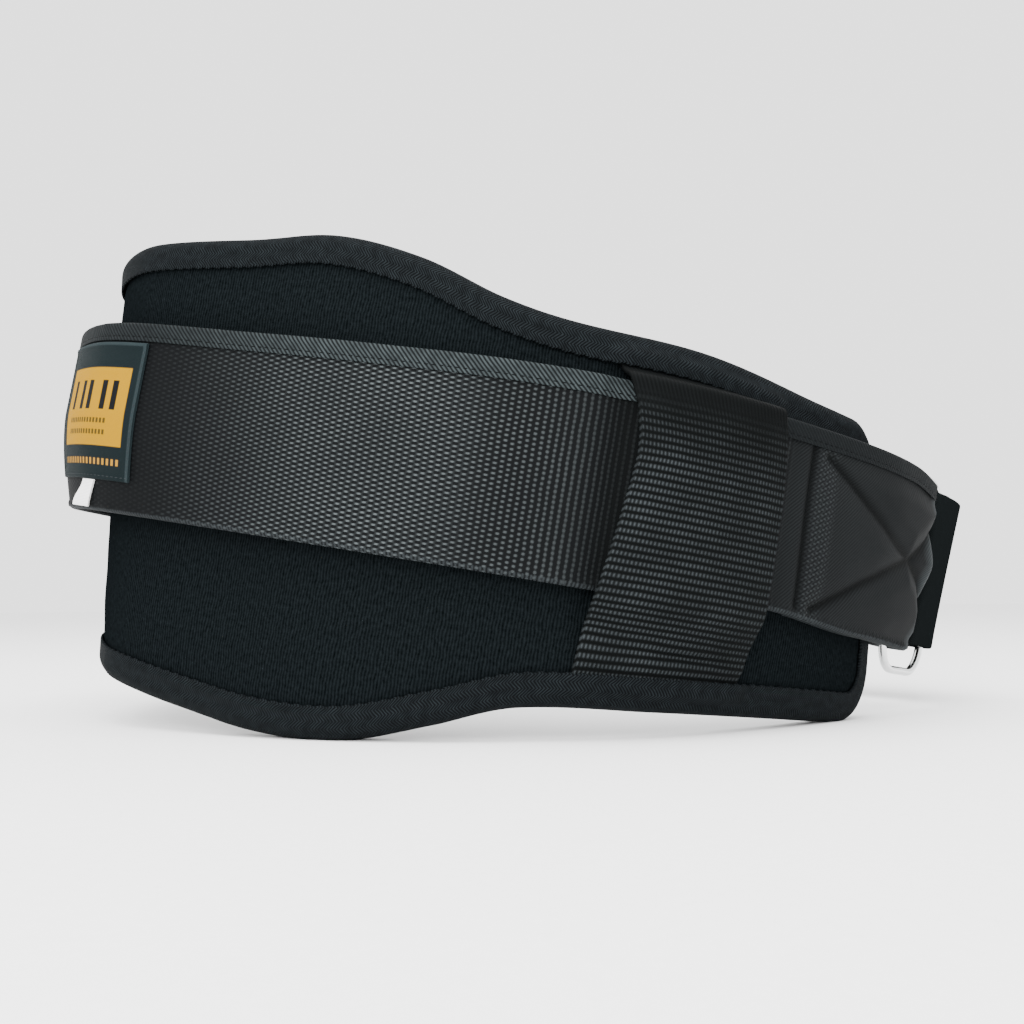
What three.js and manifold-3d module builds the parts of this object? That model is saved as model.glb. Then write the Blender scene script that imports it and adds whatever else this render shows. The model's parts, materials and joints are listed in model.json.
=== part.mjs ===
// Weightlifting belt, closed and standing by itself. Millimetres, +Z up, closure towards -Y.
// A contoured foam pad wraps the waist. A webbing strap lies round it, held by two keeper loops,
// and is closed at the front by a strap that passes through a steel ring and doubles back.
//
// Every piece is laid out on the strap's outer face as (s, z, out): s is the arc from the back
// centre, positive round the -X side, z the height from the strap's mid-line, out the distance
// outward from the strap's outer face. bend() carries that on to the closed loop.

import * as THREE from 'three';
import Module from 'manifold-3d';
import { mergeVertices } from 'three/addons/utils/BufferGeometryUtils.js';

const wasm = await Module();
wasm.setup();

// The closed loop, measured on the strap's outer face.
const loopHalfLength = 205;
const loopHalfWidth = 138;
const clearance = 0.3;

// Main strap: webbing, with a tape folded over its top edge.
const strapWidth = 76;
const strapThickness = 3;
const edgeTapeReach = 6.5;
const edgeTapeThickness = 0.6;

// Foam pad and the tape bound round its whole edge.
const frontGap = 71.7;
const padThickness = 11;
const padStandOff = 11;
const padStandOffLength = 230;
const padLean = 0.14;
const padEndLean = 20;
const padEndLength = 60;
const padAboveStrap = 11.5;
const padBelowStrap = 35;
const humpRise = 33;
const humpDrop = 36.5;
const padTopCorner = 36;
const padBottomCorner = 22;
const bindingReach = 11;
const bindingThickness = 1.2;
const bindingGap = 0.5;
const restFlat = 0.7;

// Room between strap and pad, where the strap's folded end passes over the pad's bound end.
const padGap = 2 * clearance + strapThickness + bindingGap + bindingThickness + 0.5;

// Keeper loops, one on each side.
const keeperWidth = 67;
const keeperThickness = 1.8;
const keeperAt = 0.631;
const keeperBow = 2.6;
const keeperNeck = 3;

// Closure: ring, the strap's end folded back through it, and the closing strap.
const ringWidth = 46;
const ringHeight = 90;
const ringBar = 3.5;
const ringCorner = 14;
const ringDrop = 5;
const ringPlay = 2.1;
const ringSwing = 4.5;
const foldCover = 20;
const foldTaper = 3.5;
const foldTaperLength = 30;
const foldReturn = 99;
const foldStep = 8;
const tapeStop = 7.5;
const closingWidth = 70;
const closingThickness = 2.2;
const closingBulge = 5.5;
const closingLean = 0.12;
const closingLap = 60;
const tailLap = 80;
const farReach = 12;

// Label and size tag, on the strap's outer face.
const labelAt = 81;
const labelWidth = 62;
const labelHeight = 58;
const labelThickness = 1.1;
const tagWidth = 10;
const tagHeight = 10.5;
const tagThickness = 0.8;

// Half of the loop from the back centre to the front centre: shares of the half-length and of
// the half-width. The other half mirrors it.
const loopTable = [
  { along: 1.0, across: 0 },
  { along: 0.856, across: 0.527 },
  { along: 0.523, across: 0.777 },
  { along: 0.255, across: 0.915 },
  { along: 0.0, across: 0.998 },
  { along: -0.271, across: 0.973 },
  { along: -0.54, across: 0.801 },
  { along: -0.803, across: 0.494 },
  { along: -1.0, across: 0 },
];

// Outline of the pad: along is a share of its half-length, rise and drop are shares of the back
// hump's height over the front end's.
const padTable = [
  { along: 0.0, rise: 0.75, drop: 0.8 },
  { along: 0.2, rise: 0.8, drop: 0.87 },
  { along: 0.3, rise: 0.87, drop: 0.95 },
  { along: 0.387, rise: 0.97, drop: 1.0 },
  { along: 0.467, rise: 0.79, drop: 0.91 },
  { along: 0.546, rise: 0.41, drop: 0.57 },
  { along: 0.616, rise: 0.24, drop: 0.25 },
  { along: 0.735, rise: 0.18, drop: 0.095 },
  { along: 0.864, rise: 0.01, drop: 0.005 },
  { along: 1.0, rise: -0.04, drop: -0.04 },
];

// Bulge of the closing strap from the ring's bar to the main strap's far end: shares of that
// length and of the bulge.
const bulgeTable = [
  { along: 0.12, bulge: 0.55 },
  { along: 0.24, bulge: 0.85 },
  { along: 0.46, bulge: 1.0 },
  { along: 0.75, bulge: 0.8 },
];

const loopCurve = makeLoopCurve();
const loopLength = loopCurve.getLength();
const halfLoop = loopLength / 2;
const padHalfLength = halfLoop - frontGap;
const strapFarEnd = padHalfLength + farReach;

function makeLoopCurve() {
  const half = loopTable.map(row =>
    new THREE.Vector3(-row.across * loopHalfWidth, row.along * loopHalfLength, 0));
  const back = half.slice(1, -1).reverse().map(p => new THREE.Vector3(-p.x, p.y, 0));
  const curve = new THREE.CatmullRomCurve3([...half, ...back], true, 'catmullrom', 0.5);
  curve.arcLengthDivisions = 2000;
  return curve;
}

// Point of the bent space: arc, height and distance outward from the strap's outer face.
function bend(s, z, out) {
  const u = THREE.MathUtils.euclideanModulo(s / loopLength, 1);
  const point = loopCurve.getPointAt(u);
  const tangent = loopCurve.getTangentAt(u);
  return new THREE.Vector3(point.x + tangent.y * out, point.y - tangent.x * out, z);
}

// Smooth value of a column of a table at a share of its length.
function readTable(table, column, along) {
  const last = table.length - 1;
  let i = 0;
  while (i < last - 1 && along > table[i + 1].along) i += 1;
  const slope = k => {
    const a = table[Math.max(k - 1, 0)];
    const b = table[Math.min(k + 1, last)];
    return k === 0 ? 0 : (b[column] - a[column]) / (b.along - a.along);
  };
  const start = table[i];
  const end = table[i + 1];
  const span = end.along - start.along;
  const t = Math.min((along - start.along) / span, 1);
  const t2 = t * t;
  const t3 = t2 * t;
  return (2 * t3 - 3 * t2 + 1) * start[column] + (t3 - 2 * t2 + t) * span * slope(i)
    + (3 * t2 - 2 * t3) * end[column] + (t3 - t2) * span * slope(i + 1);
}

// Outer face of the pad: it lies close under the strap at the sides, and at the back it stands
// off and leans out at its top.
function padFace(s, z) {
  const t = Math.min(Math.abs(s) / padStandOffLength, 1);
  const fade = Math.cos(t * Math.PI / 2) ** 2;
  return -(strapThickness + padGap + (padStandOff - padLean * z) * fade);
}

// Where a place of the pad lies once its front end leans back towards the top.
function leaned(s, z) {
  const share = (z + strapWidth / 2 + padBelowStrap) / (strapWidth + padBelowStrap + padAboveStrap);
  const end = THREE.MathUtils.smoothstep(Math.abs(s), padHalfLength - padEndLength, padHalfLength);
  return s - Math.sign(s) * padEndLean * share * end;
}

// Point of the pad: depth is the distance outward from its outer face.
function padPoint(s, z, depth) {
  const at = leaned(s, z);
  return bend(at, z, padFace(at, z) + depth);
}

// How far a rounded corner at the pad's end takes the edge in.
function cornerDrop(s, radius) {
  const into = Math.abs(s) - (padHalfLength - radius);
  return into <= 0 ? 0 : radius - Math.sqrt(Math.max(radius * radius - into * into, 0));
}

function padTop(s) {
  const rise = readTable(padTable, 'rise', Math.abs(s) / padHalfLength);
  return strapWidth / 2 + padAboveStrap + humpRise * rise - cornerDrop(s, padTopCorner);
}

function padBottom(s) {
  const drop = readTable(padTable, 'drop', Math.abs(s) / padHalfLength);
  return -(strapWidth / 2 + padBelowStrap + humpDrop * drop) + cornerDrop(s, padBottomCorner);
}

// Values from start to end, evenly spaced.
function spread(start, end, count) {
  return Array.from({ length: count + 1 }, (_, i) => start + (end - start) * i / count);
}

// Closed solid from rings of points: each ring is joined to the next, and an open row is capped.
function loft(rings, closed) {
  const size = rings[0].length;
  const positions = rings.flat().flatMap(p => [p.x, p.y, p.z]);
  const index = [];
  const count = closed ? rings.length : rings.length - 1;
  for (let i = 0; i < count; i += 1) {
    const a = i * size;
    const b = ((i + 1) % rings.length) * size;
    for (let k = 0; k < size; k += 1) {
      const m = (k + 1) % size;
      index.push(a + k, b + k, b + m);
      index.push(a + k, b + m, a + m);
    }
  }
  if (!closed) {
    addCap(index, rings[0], 0, true);
    addCap(index, rings[rings.length - 1], (rings.length - 1) * size, false);
  }
  const geometry = new THREE.BufferGeometry();
  geometry.setAttribute('position', new THREE.Float32BufferAttribute(positions, 3));
  geometry.setIndex(index);
  return outward(geometry);
}

// Flat cap over one ring, triangulated in the ring's own plane.
function addCap(index, ring, base, forward) {
  const origin = ring[0];
  const normal = new THREE.Vector3();
  for (let k = 1; k < ring.length - 1; k += 1) {
    const a = ring[k].clone().sub(origin);
    const b = ring[k + 1].clone().sub(origin);
    normal.add(a.cross(b));
  }
  normal.normalize();
  const side = new THREE.Vector3(0, 0, 1).cross(normal);
  if (side.length() < 0.1) side.set(1, 0, 0);
  side.normalize();
  const up = normal.clone().cross(side);
  const flat = ring.map(p => new THREE.Vector2(p.clone().sub(origin).dot(side), p.clone().sub(origin).dot(up)));
  for (const [a, b, c] of THREE.ShapeUtils.triangulateShape(flat, [])) {
    const ccw = flat[b].clone().sub(flat[a]).cross(flat[c].clone().sub(flat[a])) > 0;
    if (ccw === forward) index.push(base + a, base + b, base + c);
    else index.push(base + a, base + c, base + b);
  }
}

// Turns every face round where the solid's volume comes out negative.
function outward(geometry) {
  const at = geometry.getAttribute('position');
  const index = geometry.getIndex().array;
  const [a, b, c] = [new THREE.Vector3(), new THREE.Vector3(), new THREE.Vector3()];
  let volume = 0;
  for (let i = 0; i < index.length; i += 3) {
    a.fromBufferAttribute(at, index[i]);
    b.fromBufferAttribute(at, index[i + 1]);
    c.fromBufferAttribute(at, index[i + 2]);
    volume += a.dot(b.cross(c));
  }
  if (volume < 0) {
    for (let i = 0; i < index.length; i += 3) {
      [index[i + 1], index[i + 2]] = [index[i + 2], index[i + 1]];
    }
  }
  return geometry;
}

function toManifold(geometry) {
  const welded = mergeVertices(geometry.clone());
  return new wasm.Manifold(new wasm.Mesh({
    numProp: 3,
    vertProperties: new Float32Array(welded.getAttribute('position').array),
    triVerts: new Uint32Array(welded.getIndex().array),
  }));
}

function fromManifold(solid) {
  const mesh = solid.getMesh();
  const geometry = new THREE.BufferGeometry();
  geometry.setAttribute('position', new THREE.BufferAttribute(mesh.vertProperties, 3));
  geometry.setIndex(new THREE.BufferAttribute(mesh.triVerts, 1));
  return geometry;
}

// Places along half of the pad, closer together round the corners at its end.
function padStations() {
  const corner = Math.max(padTopCorner, padBottomCorner);
  const round = spread(0, Math.PI / 2, 7).slice(1);
  return [
    ...spread(0, padHalfLength - corner, 24),
    ...round.map(a => padHalfLength - corner * (1 - Math.sin(a))),
  ];
}

// Foam pad: an eight-sided section, its edges eased, along the whole length.
function backPad() {
  const half = padStations();
  const stations = [...half.slice(1).reverse().map(s => -s), ...half];
  const ease = 2;
  const back = -padThickness;
  return loft(stations.map(s => {
    const top = padTop(s);
    const bottom = padBottom(s);
    return [
      padPoint(s, bottom + ease, 0), padPoint(s, top - ease, 0),
      padPoint(s, top, -ease), padPoint(s, top, back + ease),
      padPoint(s, top - ease, back), padPoint(s, bottom + ease, back),
      padPoint(s, bottom, back + ease), padPoint(s, bottom, -ease),
    ];
  }), false);
}

// Upper or lower edge of the pad as a row from one front end to the other, which stops half way
// up the end. away is the direction out of the pad, upright along the edge and turning round
// its corners.
function padEdge(edge, radius, up) {
  const half = padStations().map(s => {
    const turn = Math.max(s - (padHalfLength - radius), 0) / radius;
    return { s, z: edge(s), away: [turn, up * Math.sqrt(Math.max(1 - turn * turn, 0))] };
  });
  const middle = (padTop(padHalfLength) + padBottom(padHalfLength)) / 2;
  half.push({ s: padHalfLength, z: middle + up * clearance / 2, away: [1, 0] });
  const far = half.slice(1).reverse().map(({ s, z, away }) => ({ s: -s, z, away: [-away[0], away[1]] }));
  return [...far, ...half];
}

// Tape round an edge of the pad: a U section carried along the edge, its open side to the pad.
function padBinding(row) {
  const half = padThickness / 2;
  const wall = half + bindingGap + bindingThickness;
  const inner = half + bindingGap;
  const end = bindingGap + bindingThickness;
  const section = [
    [-bindingReach, wall], [end - 1, wall], [end, wall - 1], [end, 1 - wall], [end - 1, -wall],
    [-bindingReach, -wall], [-bindingReach, -inner], [bindingGap, -inner], [bindingGap, inner],
    [-bindingReach, inner],
  ];
  return loft(row.map(({ s, z, away }) => section.map(([reach, depth]) => {
    return padPoint(s + away[0] * reach, z + away[1] * reach, depth - half);
  })), false);
}

// Row of (s, out) on a smooth line through chosen places.
function smoothRow(places, count) {
  const curve = new THREE.CatmullRomCurve3(places.map(([s, out]) => new THREE.Vector3(s, out, 0)));
  return curve.getSpacedPoints(count).map(p => [p.x, p.y]);
}

// Webbing standing on edge: a plan line of (s, out) for its middle, its thickness, the heights
// of its lower and upper edges along the line, and how far it leans outward at a height.
function webbing(row, thickness, edges, lean = () => 0) {
  const line = row.map(([s, out]) => bend(s, 0, out));
  return loft(line.map((point, i) => {
    const before = line[Math.max(i - 1, 0)];
    const after = line[Math.min(i + 1, line.length - 1)];
    const along = after.clone().sub(before).normalize();
    const side = new THREE.Vector3(along.y, -along.x, 0);
    const [low, high] = edges(row[i][0], i);
    const corner = (z, out) => point.clone()
      .addScaledVector(side, out * thickness / 2 + lean(i, z))
      .add(new THREE.Vector3(0, 0, z));
    return [corner(low, 1), corner(high, 1), corner(high, -1), corner(low, -1)];
  }), false);
}

// Half-turn of a strap round an upright bar at (s, out), opening back towards -s or +s.
function foldRow(s, out, radius, direction) {
  return spread(0, Math.PI, 8).map(a => [
    s + direction * radius * Math.sin(a), out + direction * radius * Math.cos(a)]);
}

// The ring starts clear of the pad's leaning end, at ringDepth under the strap's outer face, and
// swings outward to its far bar.
const ringDepth = strapThickness + ringPlay + ringBar / 2;
const ringStart = leaned(padHalfLength, -strapWidth / 2) + bindingGap + bindingThickness + foldStep;
const ringEnd = ringStart + ringWidth;
const ringEndDepth = ringDepth - ringSwing;
const foldAt = ringStart + foldCover;

// Upper edge of the main strap, which narrows towards its fold.
function strapTop(s) {
  return strapWidth / 2 - foldTaper * THREE.MathUtils.smoothstep(s, foldAt - foldTaperLength, foldAt);
}

// Main strap: from its far end round the back to the ring, folded there and led back inside.
function waistStrap() {
  const middle = -strapThickness / 2;
  const foldRadius = ringDepth + middle;
  const fold = foldAt - foldRadius - strapThickness / 2;
  const returned = 3 * middle - clearance;
  const outer = spread(-strapFarEnd, fold, 84).slice(0, -1).map(s => [s, middle]);
  const inner = [
    ...spread(fold, ringStart - 1, 2).slice(1).map(s => [s, -ringDepth - foldRadius]),
    ...spread(ringStart - foldStep + 1, foldAt - foldReturn, 7).map(s => [s, returned]),
  ];
  const row = [...outer, ...foldRow(fold, -ringDepth, foldRadius, 1), ...inner];
  return webbing(row, strapThickness, (s, i) => {
    const folded = i >= outer.length + 4;
    return [-strapWidth / 2, folded ? strapTop(foldAt) - edgeTapeReach - clearance : strapTop(s)];
  });
}

// Tape folded over the strap's top edge, up to the fold.
function strapBinding() {
  const inner = clearance;
  const outer = clearance + edgeTapeThickness;
  const back = -strapThickness;
  const narrowing = foldAt - foldTaperLength;
  const stations = [
    ...spread(-strapFarEnd, narrowing, 70), ...spread(narrowing, foldAt - tapeStop, 6).slice(1)];
  return loft(stations.map(s => {
    const top = strapTop(s);
    const hem = top - edgeTapeReach;
    return [
      bend(s, hem, outer), bend(s, top + outer, outer), bend(s, top + outer, back - outer),
      bend(s, hem, back - outer), bend(s, hem, back - inner), bend(s, top + inner, back - inner),
      bend(s, top + inner, inner), bend(s, hem, inner),
    ];
  }), false);
}

// Keeper loop: a band down the pad's face from binding to binding, bowed out over the strap.
function keeperLoop(side) {
  const stations = spread(-1, 1, 8);
  const strapTop = strapWidth / 2 + clearance + edgeTapeThickness;
  const over = 2 * clearance + edgeTapeThickness;
  return loft(stations.map(t => {
    const centre = keeperAt * halfLoop;
    const s = centre + t * keeperWidth / 2;
    const face = padFace(s, 0) + clearance;
    const high = padTop(s) - bindingReach - clearance;
    const low = padBottom(s) + bindingReach + clearance;
    const shoulder = Math.min(strapTop + clearance, high - keeperThickness);
    const foot = -strapWidth / 2;
    const crown = over + keeperBow - 1.2;
    const inside = [
      { z: shoulder, out: face }, { z: shoulder, out: over }, { z: strapTop - 6, out: over + 0.4 },
      { z: 0, out: crown }, { z: foot + 4, out: over }, { z: foot - 1, out: over - 0.4 },
      { z: foot - 9, out: over - 4.5 }, { z: low + 8, out: face + 0.6 }, { z: low, out: face },
    ];
    const wall = keeperThickness;
    const outside = [
      { z: low, out: face + wall }, { z: low + 8, out: face + wall + 0.6 },
      { z: foot - 9.5, out: over - 4.2 + wall }, { z: foot - 1.6, out: over - 0.4 + wall },
      { z: foot + 4, out: over + wall }, { z: 0, out: crown + wall },
      { z: strapTop - 6, out: over + 0.4 + wall }, { z: high, out: over + 0.6 }, { z: high, out: face },
    ];
    return [...inside, ...outside].map(({ z, out }) => {
      const neck = Math.exp(-((z - 8) ** 2) / (2 * 22 ** 2));
      return bend(side * (s - t * keeperNeck * neck), z, out);
    });
  }), false);
}

// Steel ring: a round bar bent to a tall rounded rectangle, standing in the strap's fold.
function buckleRing() {
  const half = ringWidth / 2 - ringBar / 2;
  const tall = ringHeight / 2 - ringBar / 2;
  const radius = ringCorner - ringBar / 2;
  const corners = [[1, 1, 0], [-1, 1, 1], [-1, -1, 2], [1, -1, 3]];
  const path = corners.flatMap(([x, z, turn]) => spread(0, Math.PI / 2, 6).map(a => new THREE.Vector2(
    x * (half - radius) + radius * Math.cos(a + turn * Math.PI / 2),
    z * (tall - radius) + radius * Math.sin(a + turn * Math.PI / 2))));
  const from = bend(ringStart, 0, -ringDepth);
  const to = bend(ringEnd, 0, -ringEndDepth);
  const along = to.clone().sub(from).normalize();
  const away = new THREE.Vector3(along.y, -along.x, 0);
  const centre = from.clone().add(to).multiplyScalar(0.5);
  const up = new THREE.Vector3(0, 0, 1);
  return loft(path.map((point, i) => {
    const before = path[(i + path.length - 1) % path.length];
    const after = path[(i + 1) % path.length];
    const run = after.clone().sub(before).normalize();
    return spread(0, 2 * Math.PI, 8).slice(0, -1).map(a => {
      const reach = Math.cos(a) * ringBar / 2;
      return centre.clone()
        .addScaledVector(along, point.x + run.y * reach)
        .addScaledVector(up, point.y - run.x * reach - ringDrop)
        .addScaledVector(away, Math.sin(a) * ringBar / 2);
    });
  }), true);
}

// Closing strap: sewn inside the main strap's far end, led through the ring and doubled back.
function closingStrap() {
  const half = closingThickness / 2;
  const inside = -strapThickness - 2 * clearance - edgeTapeThickness - half;
  const outside = 2 * clearance + edgeTapeThickness + half;
  const radius = ringBar / 2 + 2 * clearance + half;
  const fold = foldAt + 4 * clearance + radius + half;
  const bar = ringEnd - ringBar / 2;
  const depthAt = s => ringDepth - ringSwing * (s - ringStart) / ringWidth;
  const farEnd = loopLength - strapFarEnd;
  const along = share => bar + (farEnd - bar) * share;
  const inner = smoothRow([
    [farEnd + closingLap, inside], [farEnd + closingLap / 6, inside - 2 * clearance],
    [along(0.7), inside - closingThickness], [along(0.3), -depthAt(bar) - radius - half],
    [bar, -depthAt(bar) - radius - 2 * clearance], [fold, -depthAt(fold) - radius],
  ], 30);
  const turn = spread(0, Math.PI, 8).slice(1, -1).map(a => [
    fold - radius * Math.sin(a), -depthAt(fold) - radius * Math.cos(a)]);
  const outer = smoothRow([
    [fold, -depthAt(fold) + radius], [bar, -depthAt(bar) + radius + 2 * clearance],
    ...bulgeTable.map(row => [along(row.along), closingBulge * row.bulge]),
    [farEnd, outside + half], [farEnd + closingLap / 4, outside], [farEnd + tailLap, outside],
  ], 40);
  const row = [...inner, ...turn, ...outer];
  const lean = (i, z) => {
    const share = THREE.MathUtils.clamp((row[i][0] - bar) / (farEnd - bar), 0, 1);
    const free = i > inner.length ? Math.sin(share * Math.PI) : 0;
    return closingLean * z * free;
  };
  return webbing(row, closingThickness, () => [-closingWidth / 2 - 1, closingWidth / 2 - 1], lean);
}

// Flat patch on the strap's outer face.
function patch(from, to, low, high, thickness, steps) {
  return loft(spread(from, to, steps).map(s => [
    bend(s, low, clearance), bend(s, high, clearance),
    bend(s, high, clearance + thickness), bend(s, low, clearance + thickness),
  ]), false);
}

function backLabel() {
  const high = strapWidth / 2 - edgeTapeReach - 1;
  return patch(labelAt - labelWidth / 2, labelAt + labelWidth / 2, high - labelHeight, high, labelThickness, 10);
}

function sizeTag() {
  const high = strapWidth / 2 - edgeTapeReach - 1 - labelHeight - 0.5;
  return patch(labelAt + 3, labelAt + 3 + tagWidth, high - tagHeight, high, tagThickness, 2);
}

// Tilt at which the lowest points of the back and of the front ends meet a level surface.
function restPose() {
  const low = spread(0, padHalfLength, 400).map(s => {
    const z = padBottom(s) - bindingGap - bindingThickness;
    const p = padPoint(s, z, -padThickness / 2);
    return { y: p.y, z };
  });
  const lowest = (tilt, rows) => Math.min(...rows.map(p => p.z * Math.cos(tilt) + p.y * Math.sin(tilt)));
  const back = low.filter(p => p.y > 0);
  const front = low.filter(p => p.y <= 0);
  let [flat, steep] = [0, THREE.MathUtils.degToRad(25)];
  for (let i = 0; i < 40; i += 1) {
    const middle = (flat + steep) / 2;
    if (lowest(middle, back) < lowest(middle, front)) flat = middle;
    else steep = middle;
  }
  return { tilt: flat, height: -lowest(flat, low) - restFlat };
}

// Presses a solid flat where it meets the surface under the tilted belt.
function pressFlat(geometry, belt) {
  const size = 1200;
  const ground = new THREE.BoxGeometry(size, size, size);
  for (const name of ['normal', 'uv']) ground.deleteAttribute(name);
  ground.translate(0, 0, -size / 2);
  belt.updateMatrix();
  ground.applyMatrix4(belt.matrix.clone().invert());
  return fromManifold(toManifold(geometry).subtract(toManifold(ground)));
}

function piece(name, geometry, color, roughness, metalness = 0) {
  const solid = geometry.clone();
  solid.computeVertexNormals();
  const mesh = new THREE.Mesh(solid, new THREE.MeshStandardMaterial({ color, roughness, metalness }));
  mesh.name = name;
  return mesh;
}

const webbingBlack = '#2a2c2d';
const lowerBinding = padBinding(padEdge(padBottom, padBottomCorner, -1));
const pose = restPose();
const belt = new THREE.Group();
belt.name = 'belt';
belt.rotation.x = pose.tilt;
belt.position.z = pose.height;
belt.add(
  piece('back_pad', backPad(), '#16191c', 0.95),
  piece('pad_binding_upper', padBinding(padEdge(padTop, padTopCorner, 1)), '#303233', 0.85),
  piece('pad_binding_lower', pressFlat(lowerBinding, belt), '#303233', 0.85),
  piece('waist_strap', waistStrap(), webbingBlack, 0.85),
  piece('strap_binding', strapBinding(), '#343637', 0.8),
  piece('keeper_loop_left', keeperLoop(1), webbingBlack, 0.85),
  piece('keeper_loop_right', keeperLoop(-1), webbingBlack, 0.85),
  piece('buckle_ring', buckleRing(), '#c9cbcc', 0.2, 1),
  piece('closing_strap', closingStrap(), '#1b1d1e', 0.8),
  piece('back_label', backLabel(), '#1c2b2d', 0.7),
  piece('size_tag', sizeTag(), '#f2f2f0', 0.7),
);

// The origin is on the floor, under the middle of the belt's bounding box.
const reach = new THREE.Box3().setFromObject(belt, true);
belt.position.x = -(reach.min.x + reach.max.x) / 2;
belt.position.y = -(reach.min.y + reach.max.y) / 2;

const root = new THREE.Group();
root.name = 'weightlifting_belt';
root.add(belt);

export default root;
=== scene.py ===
"""Looks of the weightlifting belt: a bound foam pad, webbing strap, keeper loops and front closure.

Sizes are in millimetres, as the frame's own are, and become metres where a point is placed.
Pieces are laid out on the strap's outer face as (s, z, out): s is the arc from the back centre,
positive round the -X side, z the height from the strap's mid-line, out the distance outward.
"""
import json
import math
import bpy
import numpy as np
from mathutils import Matrix, Vector

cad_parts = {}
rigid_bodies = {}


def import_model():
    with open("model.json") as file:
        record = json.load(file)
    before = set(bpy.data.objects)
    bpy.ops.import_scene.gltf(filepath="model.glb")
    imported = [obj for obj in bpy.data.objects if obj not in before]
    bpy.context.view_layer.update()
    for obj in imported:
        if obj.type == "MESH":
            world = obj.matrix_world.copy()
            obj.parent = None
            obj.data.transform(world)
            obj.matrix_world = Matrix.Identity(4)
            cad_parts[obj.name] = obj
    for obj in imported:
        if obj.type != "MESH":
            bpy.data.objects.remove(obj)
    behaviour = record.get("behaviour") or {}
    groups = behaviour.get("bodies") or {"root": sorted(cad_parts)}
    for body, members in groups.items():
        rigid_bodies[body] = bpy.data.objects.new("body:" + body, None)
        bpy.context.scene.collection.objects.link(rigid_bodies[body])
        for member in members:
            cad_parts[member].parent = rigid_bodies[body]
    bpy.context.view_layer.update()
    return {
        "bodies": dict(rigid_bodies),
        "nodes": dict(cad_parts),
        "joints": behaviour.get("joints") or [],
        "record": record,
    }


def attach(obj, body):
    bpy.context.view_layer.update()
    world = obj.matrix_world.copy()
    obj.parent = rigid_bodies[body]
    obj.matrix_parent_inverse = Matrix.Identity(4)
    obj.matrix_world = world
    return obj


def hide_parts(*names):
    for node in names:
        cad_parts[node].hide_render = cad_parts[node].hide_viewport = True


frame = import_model()

MM = 0.001

# The closed loop, the strap and the way the belt stands.
LOOP_HALF_LENGTH = 205
LOOP_HALF_WIDTH = 138
TILT = math.radians(10.034647)
LIFT = 97.4085
FORWARD = 4.3814
CLEARANCE = 0.3
STRAP_WIDTH = 76
STRAP_THICKNESS = 3
TAPE_REACH = 6.5
TAPE_THICKNESS = 0.6
TAPE_SEAM = 1.6
STRAP_STITCH = 3
SEAM_WIDTH = 1.8

# Pad and its binding.
FRONT_GAP = 71.7
PAD_THICKNESS = 11
PAD_STAND_OFF = 11
PAD_STAND_OFF_LENGTH = 230
PAD_LEAN = 0.14
PAD_END_LEAN = 20
PAD_END_LENGTH = 60
PAD_ABOVE_STRAP = 11.5
PAD_BELOW_STRAP = 35
HUMP_RISE = 33
HUMP_DROP = 36.5
PAD_TOP_CORNER = 36
PAD_BOTTOM_CORNER = 22
BINDING_REACH = 11
BINDING_THICKNESS = 1.2
BINDING_GAP = 0.5
BINDING_SEAM = 2.6
BINDING_STITCH = 5
PAD_GAP = 2 * CLEARANCE + STRAP_THICKNESS + BINDING_GAP + BINDING_THICKNESS + 0.5

# Keeper loops.
KEEPER_THICKNESS = 1.8
KEEPER_TUCK = 3
KEEPER_LIFT = KEEPER_THICKNESS + 0.6

# Closure.
RING_WIDTH = 46
RING_HEIGHT = 90
RING_BAR = 3.5
RING_CORNER = 14
RING_DROP = 5
RING_PLAY = 2.1
RING_SWING = 4.5
FOLD_COVER = 20
FOLD_TAPER = 3.5
FOLD_TAPER_LENGTH = 30
FOLD_RETURN = 99
FOLD_STEP = 8
TAPE_STOP = 7.5
CLOSING_WIDTH = 70
CLOSING_THICKNESS = 2.2
CLOSING_BULGE = 5.5
CLOSING_LEAN = 0.12
CLOSING_LAP = 60
TAIL_LAP = 80
FAR_REACH = 12

# Label and size tag.
LABEL_AT = 81
LABEL_WIDTH = 62
LABEL_HEIGHT = 56
LABEL_THICKNESS = 1.1
TAG_WIDTH = 10
TAG_HEIGHT = 10.5
TAG_THICKNESS = 0.8
TAG_LEFT = LABEL_AT - 1
TAG_SLANT = 0.45
LABEL_LEFT = LABEL_AT - LABEL_WIDTH / 2
LABEL_RIGHT = LABEL_AT + LABEL_WIDTH / 2
LABEL_TOP = STRAP_WIDTH / 2 - TAPE_REACH - 1

# The photograph's camera, fitted in the strap's own frame: millimetres and degrees.
CAMERA_PLACE = (-525, -2.7, -46.7)
CAMERA_PITCH = 4.62
CAMERA_ROLL = 9.55
CAMERA_LENS = 38.67

# Half of the loop from the back centre to the front centre: shares along and across.
LOOP_TABLE = [
    (1.0, 0.0), (0.856, 0.527), (0.523, 0.777), (0.255, 0.915), (0.0, 0.998),
    (-0.271, 0.973), (-0.54, 0.801), (-0.803, 0.494), (-1.0, 0.0),
]

# Outline of the pad: share of its half-length, then shares of the hump's rise and drop.
PAD_TABLE = np.array([
    (0.0, 0.75, 0.8), (0.2, 0.8, 0.87), (0.3, 0.87, 0.95), (0.387, 0.97, 1.0),
    (0.467, 0.79, 0.91), (0.546, 0.41, 0.57), (0.616, 0.24, 0.25), (0.735, 0.18, 0.095),
    (0.864, 0.01, 0.005), (1.0, -0.04, -0.04),
])

# Bulge of the closing strap from the ring's bar to the strap's far end: shares of both.
BULGE_TABLE = [(0.12, 0.55), (0.24, 0.85), (0.46, 1.0), (0.75, 0.8)]

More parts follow.
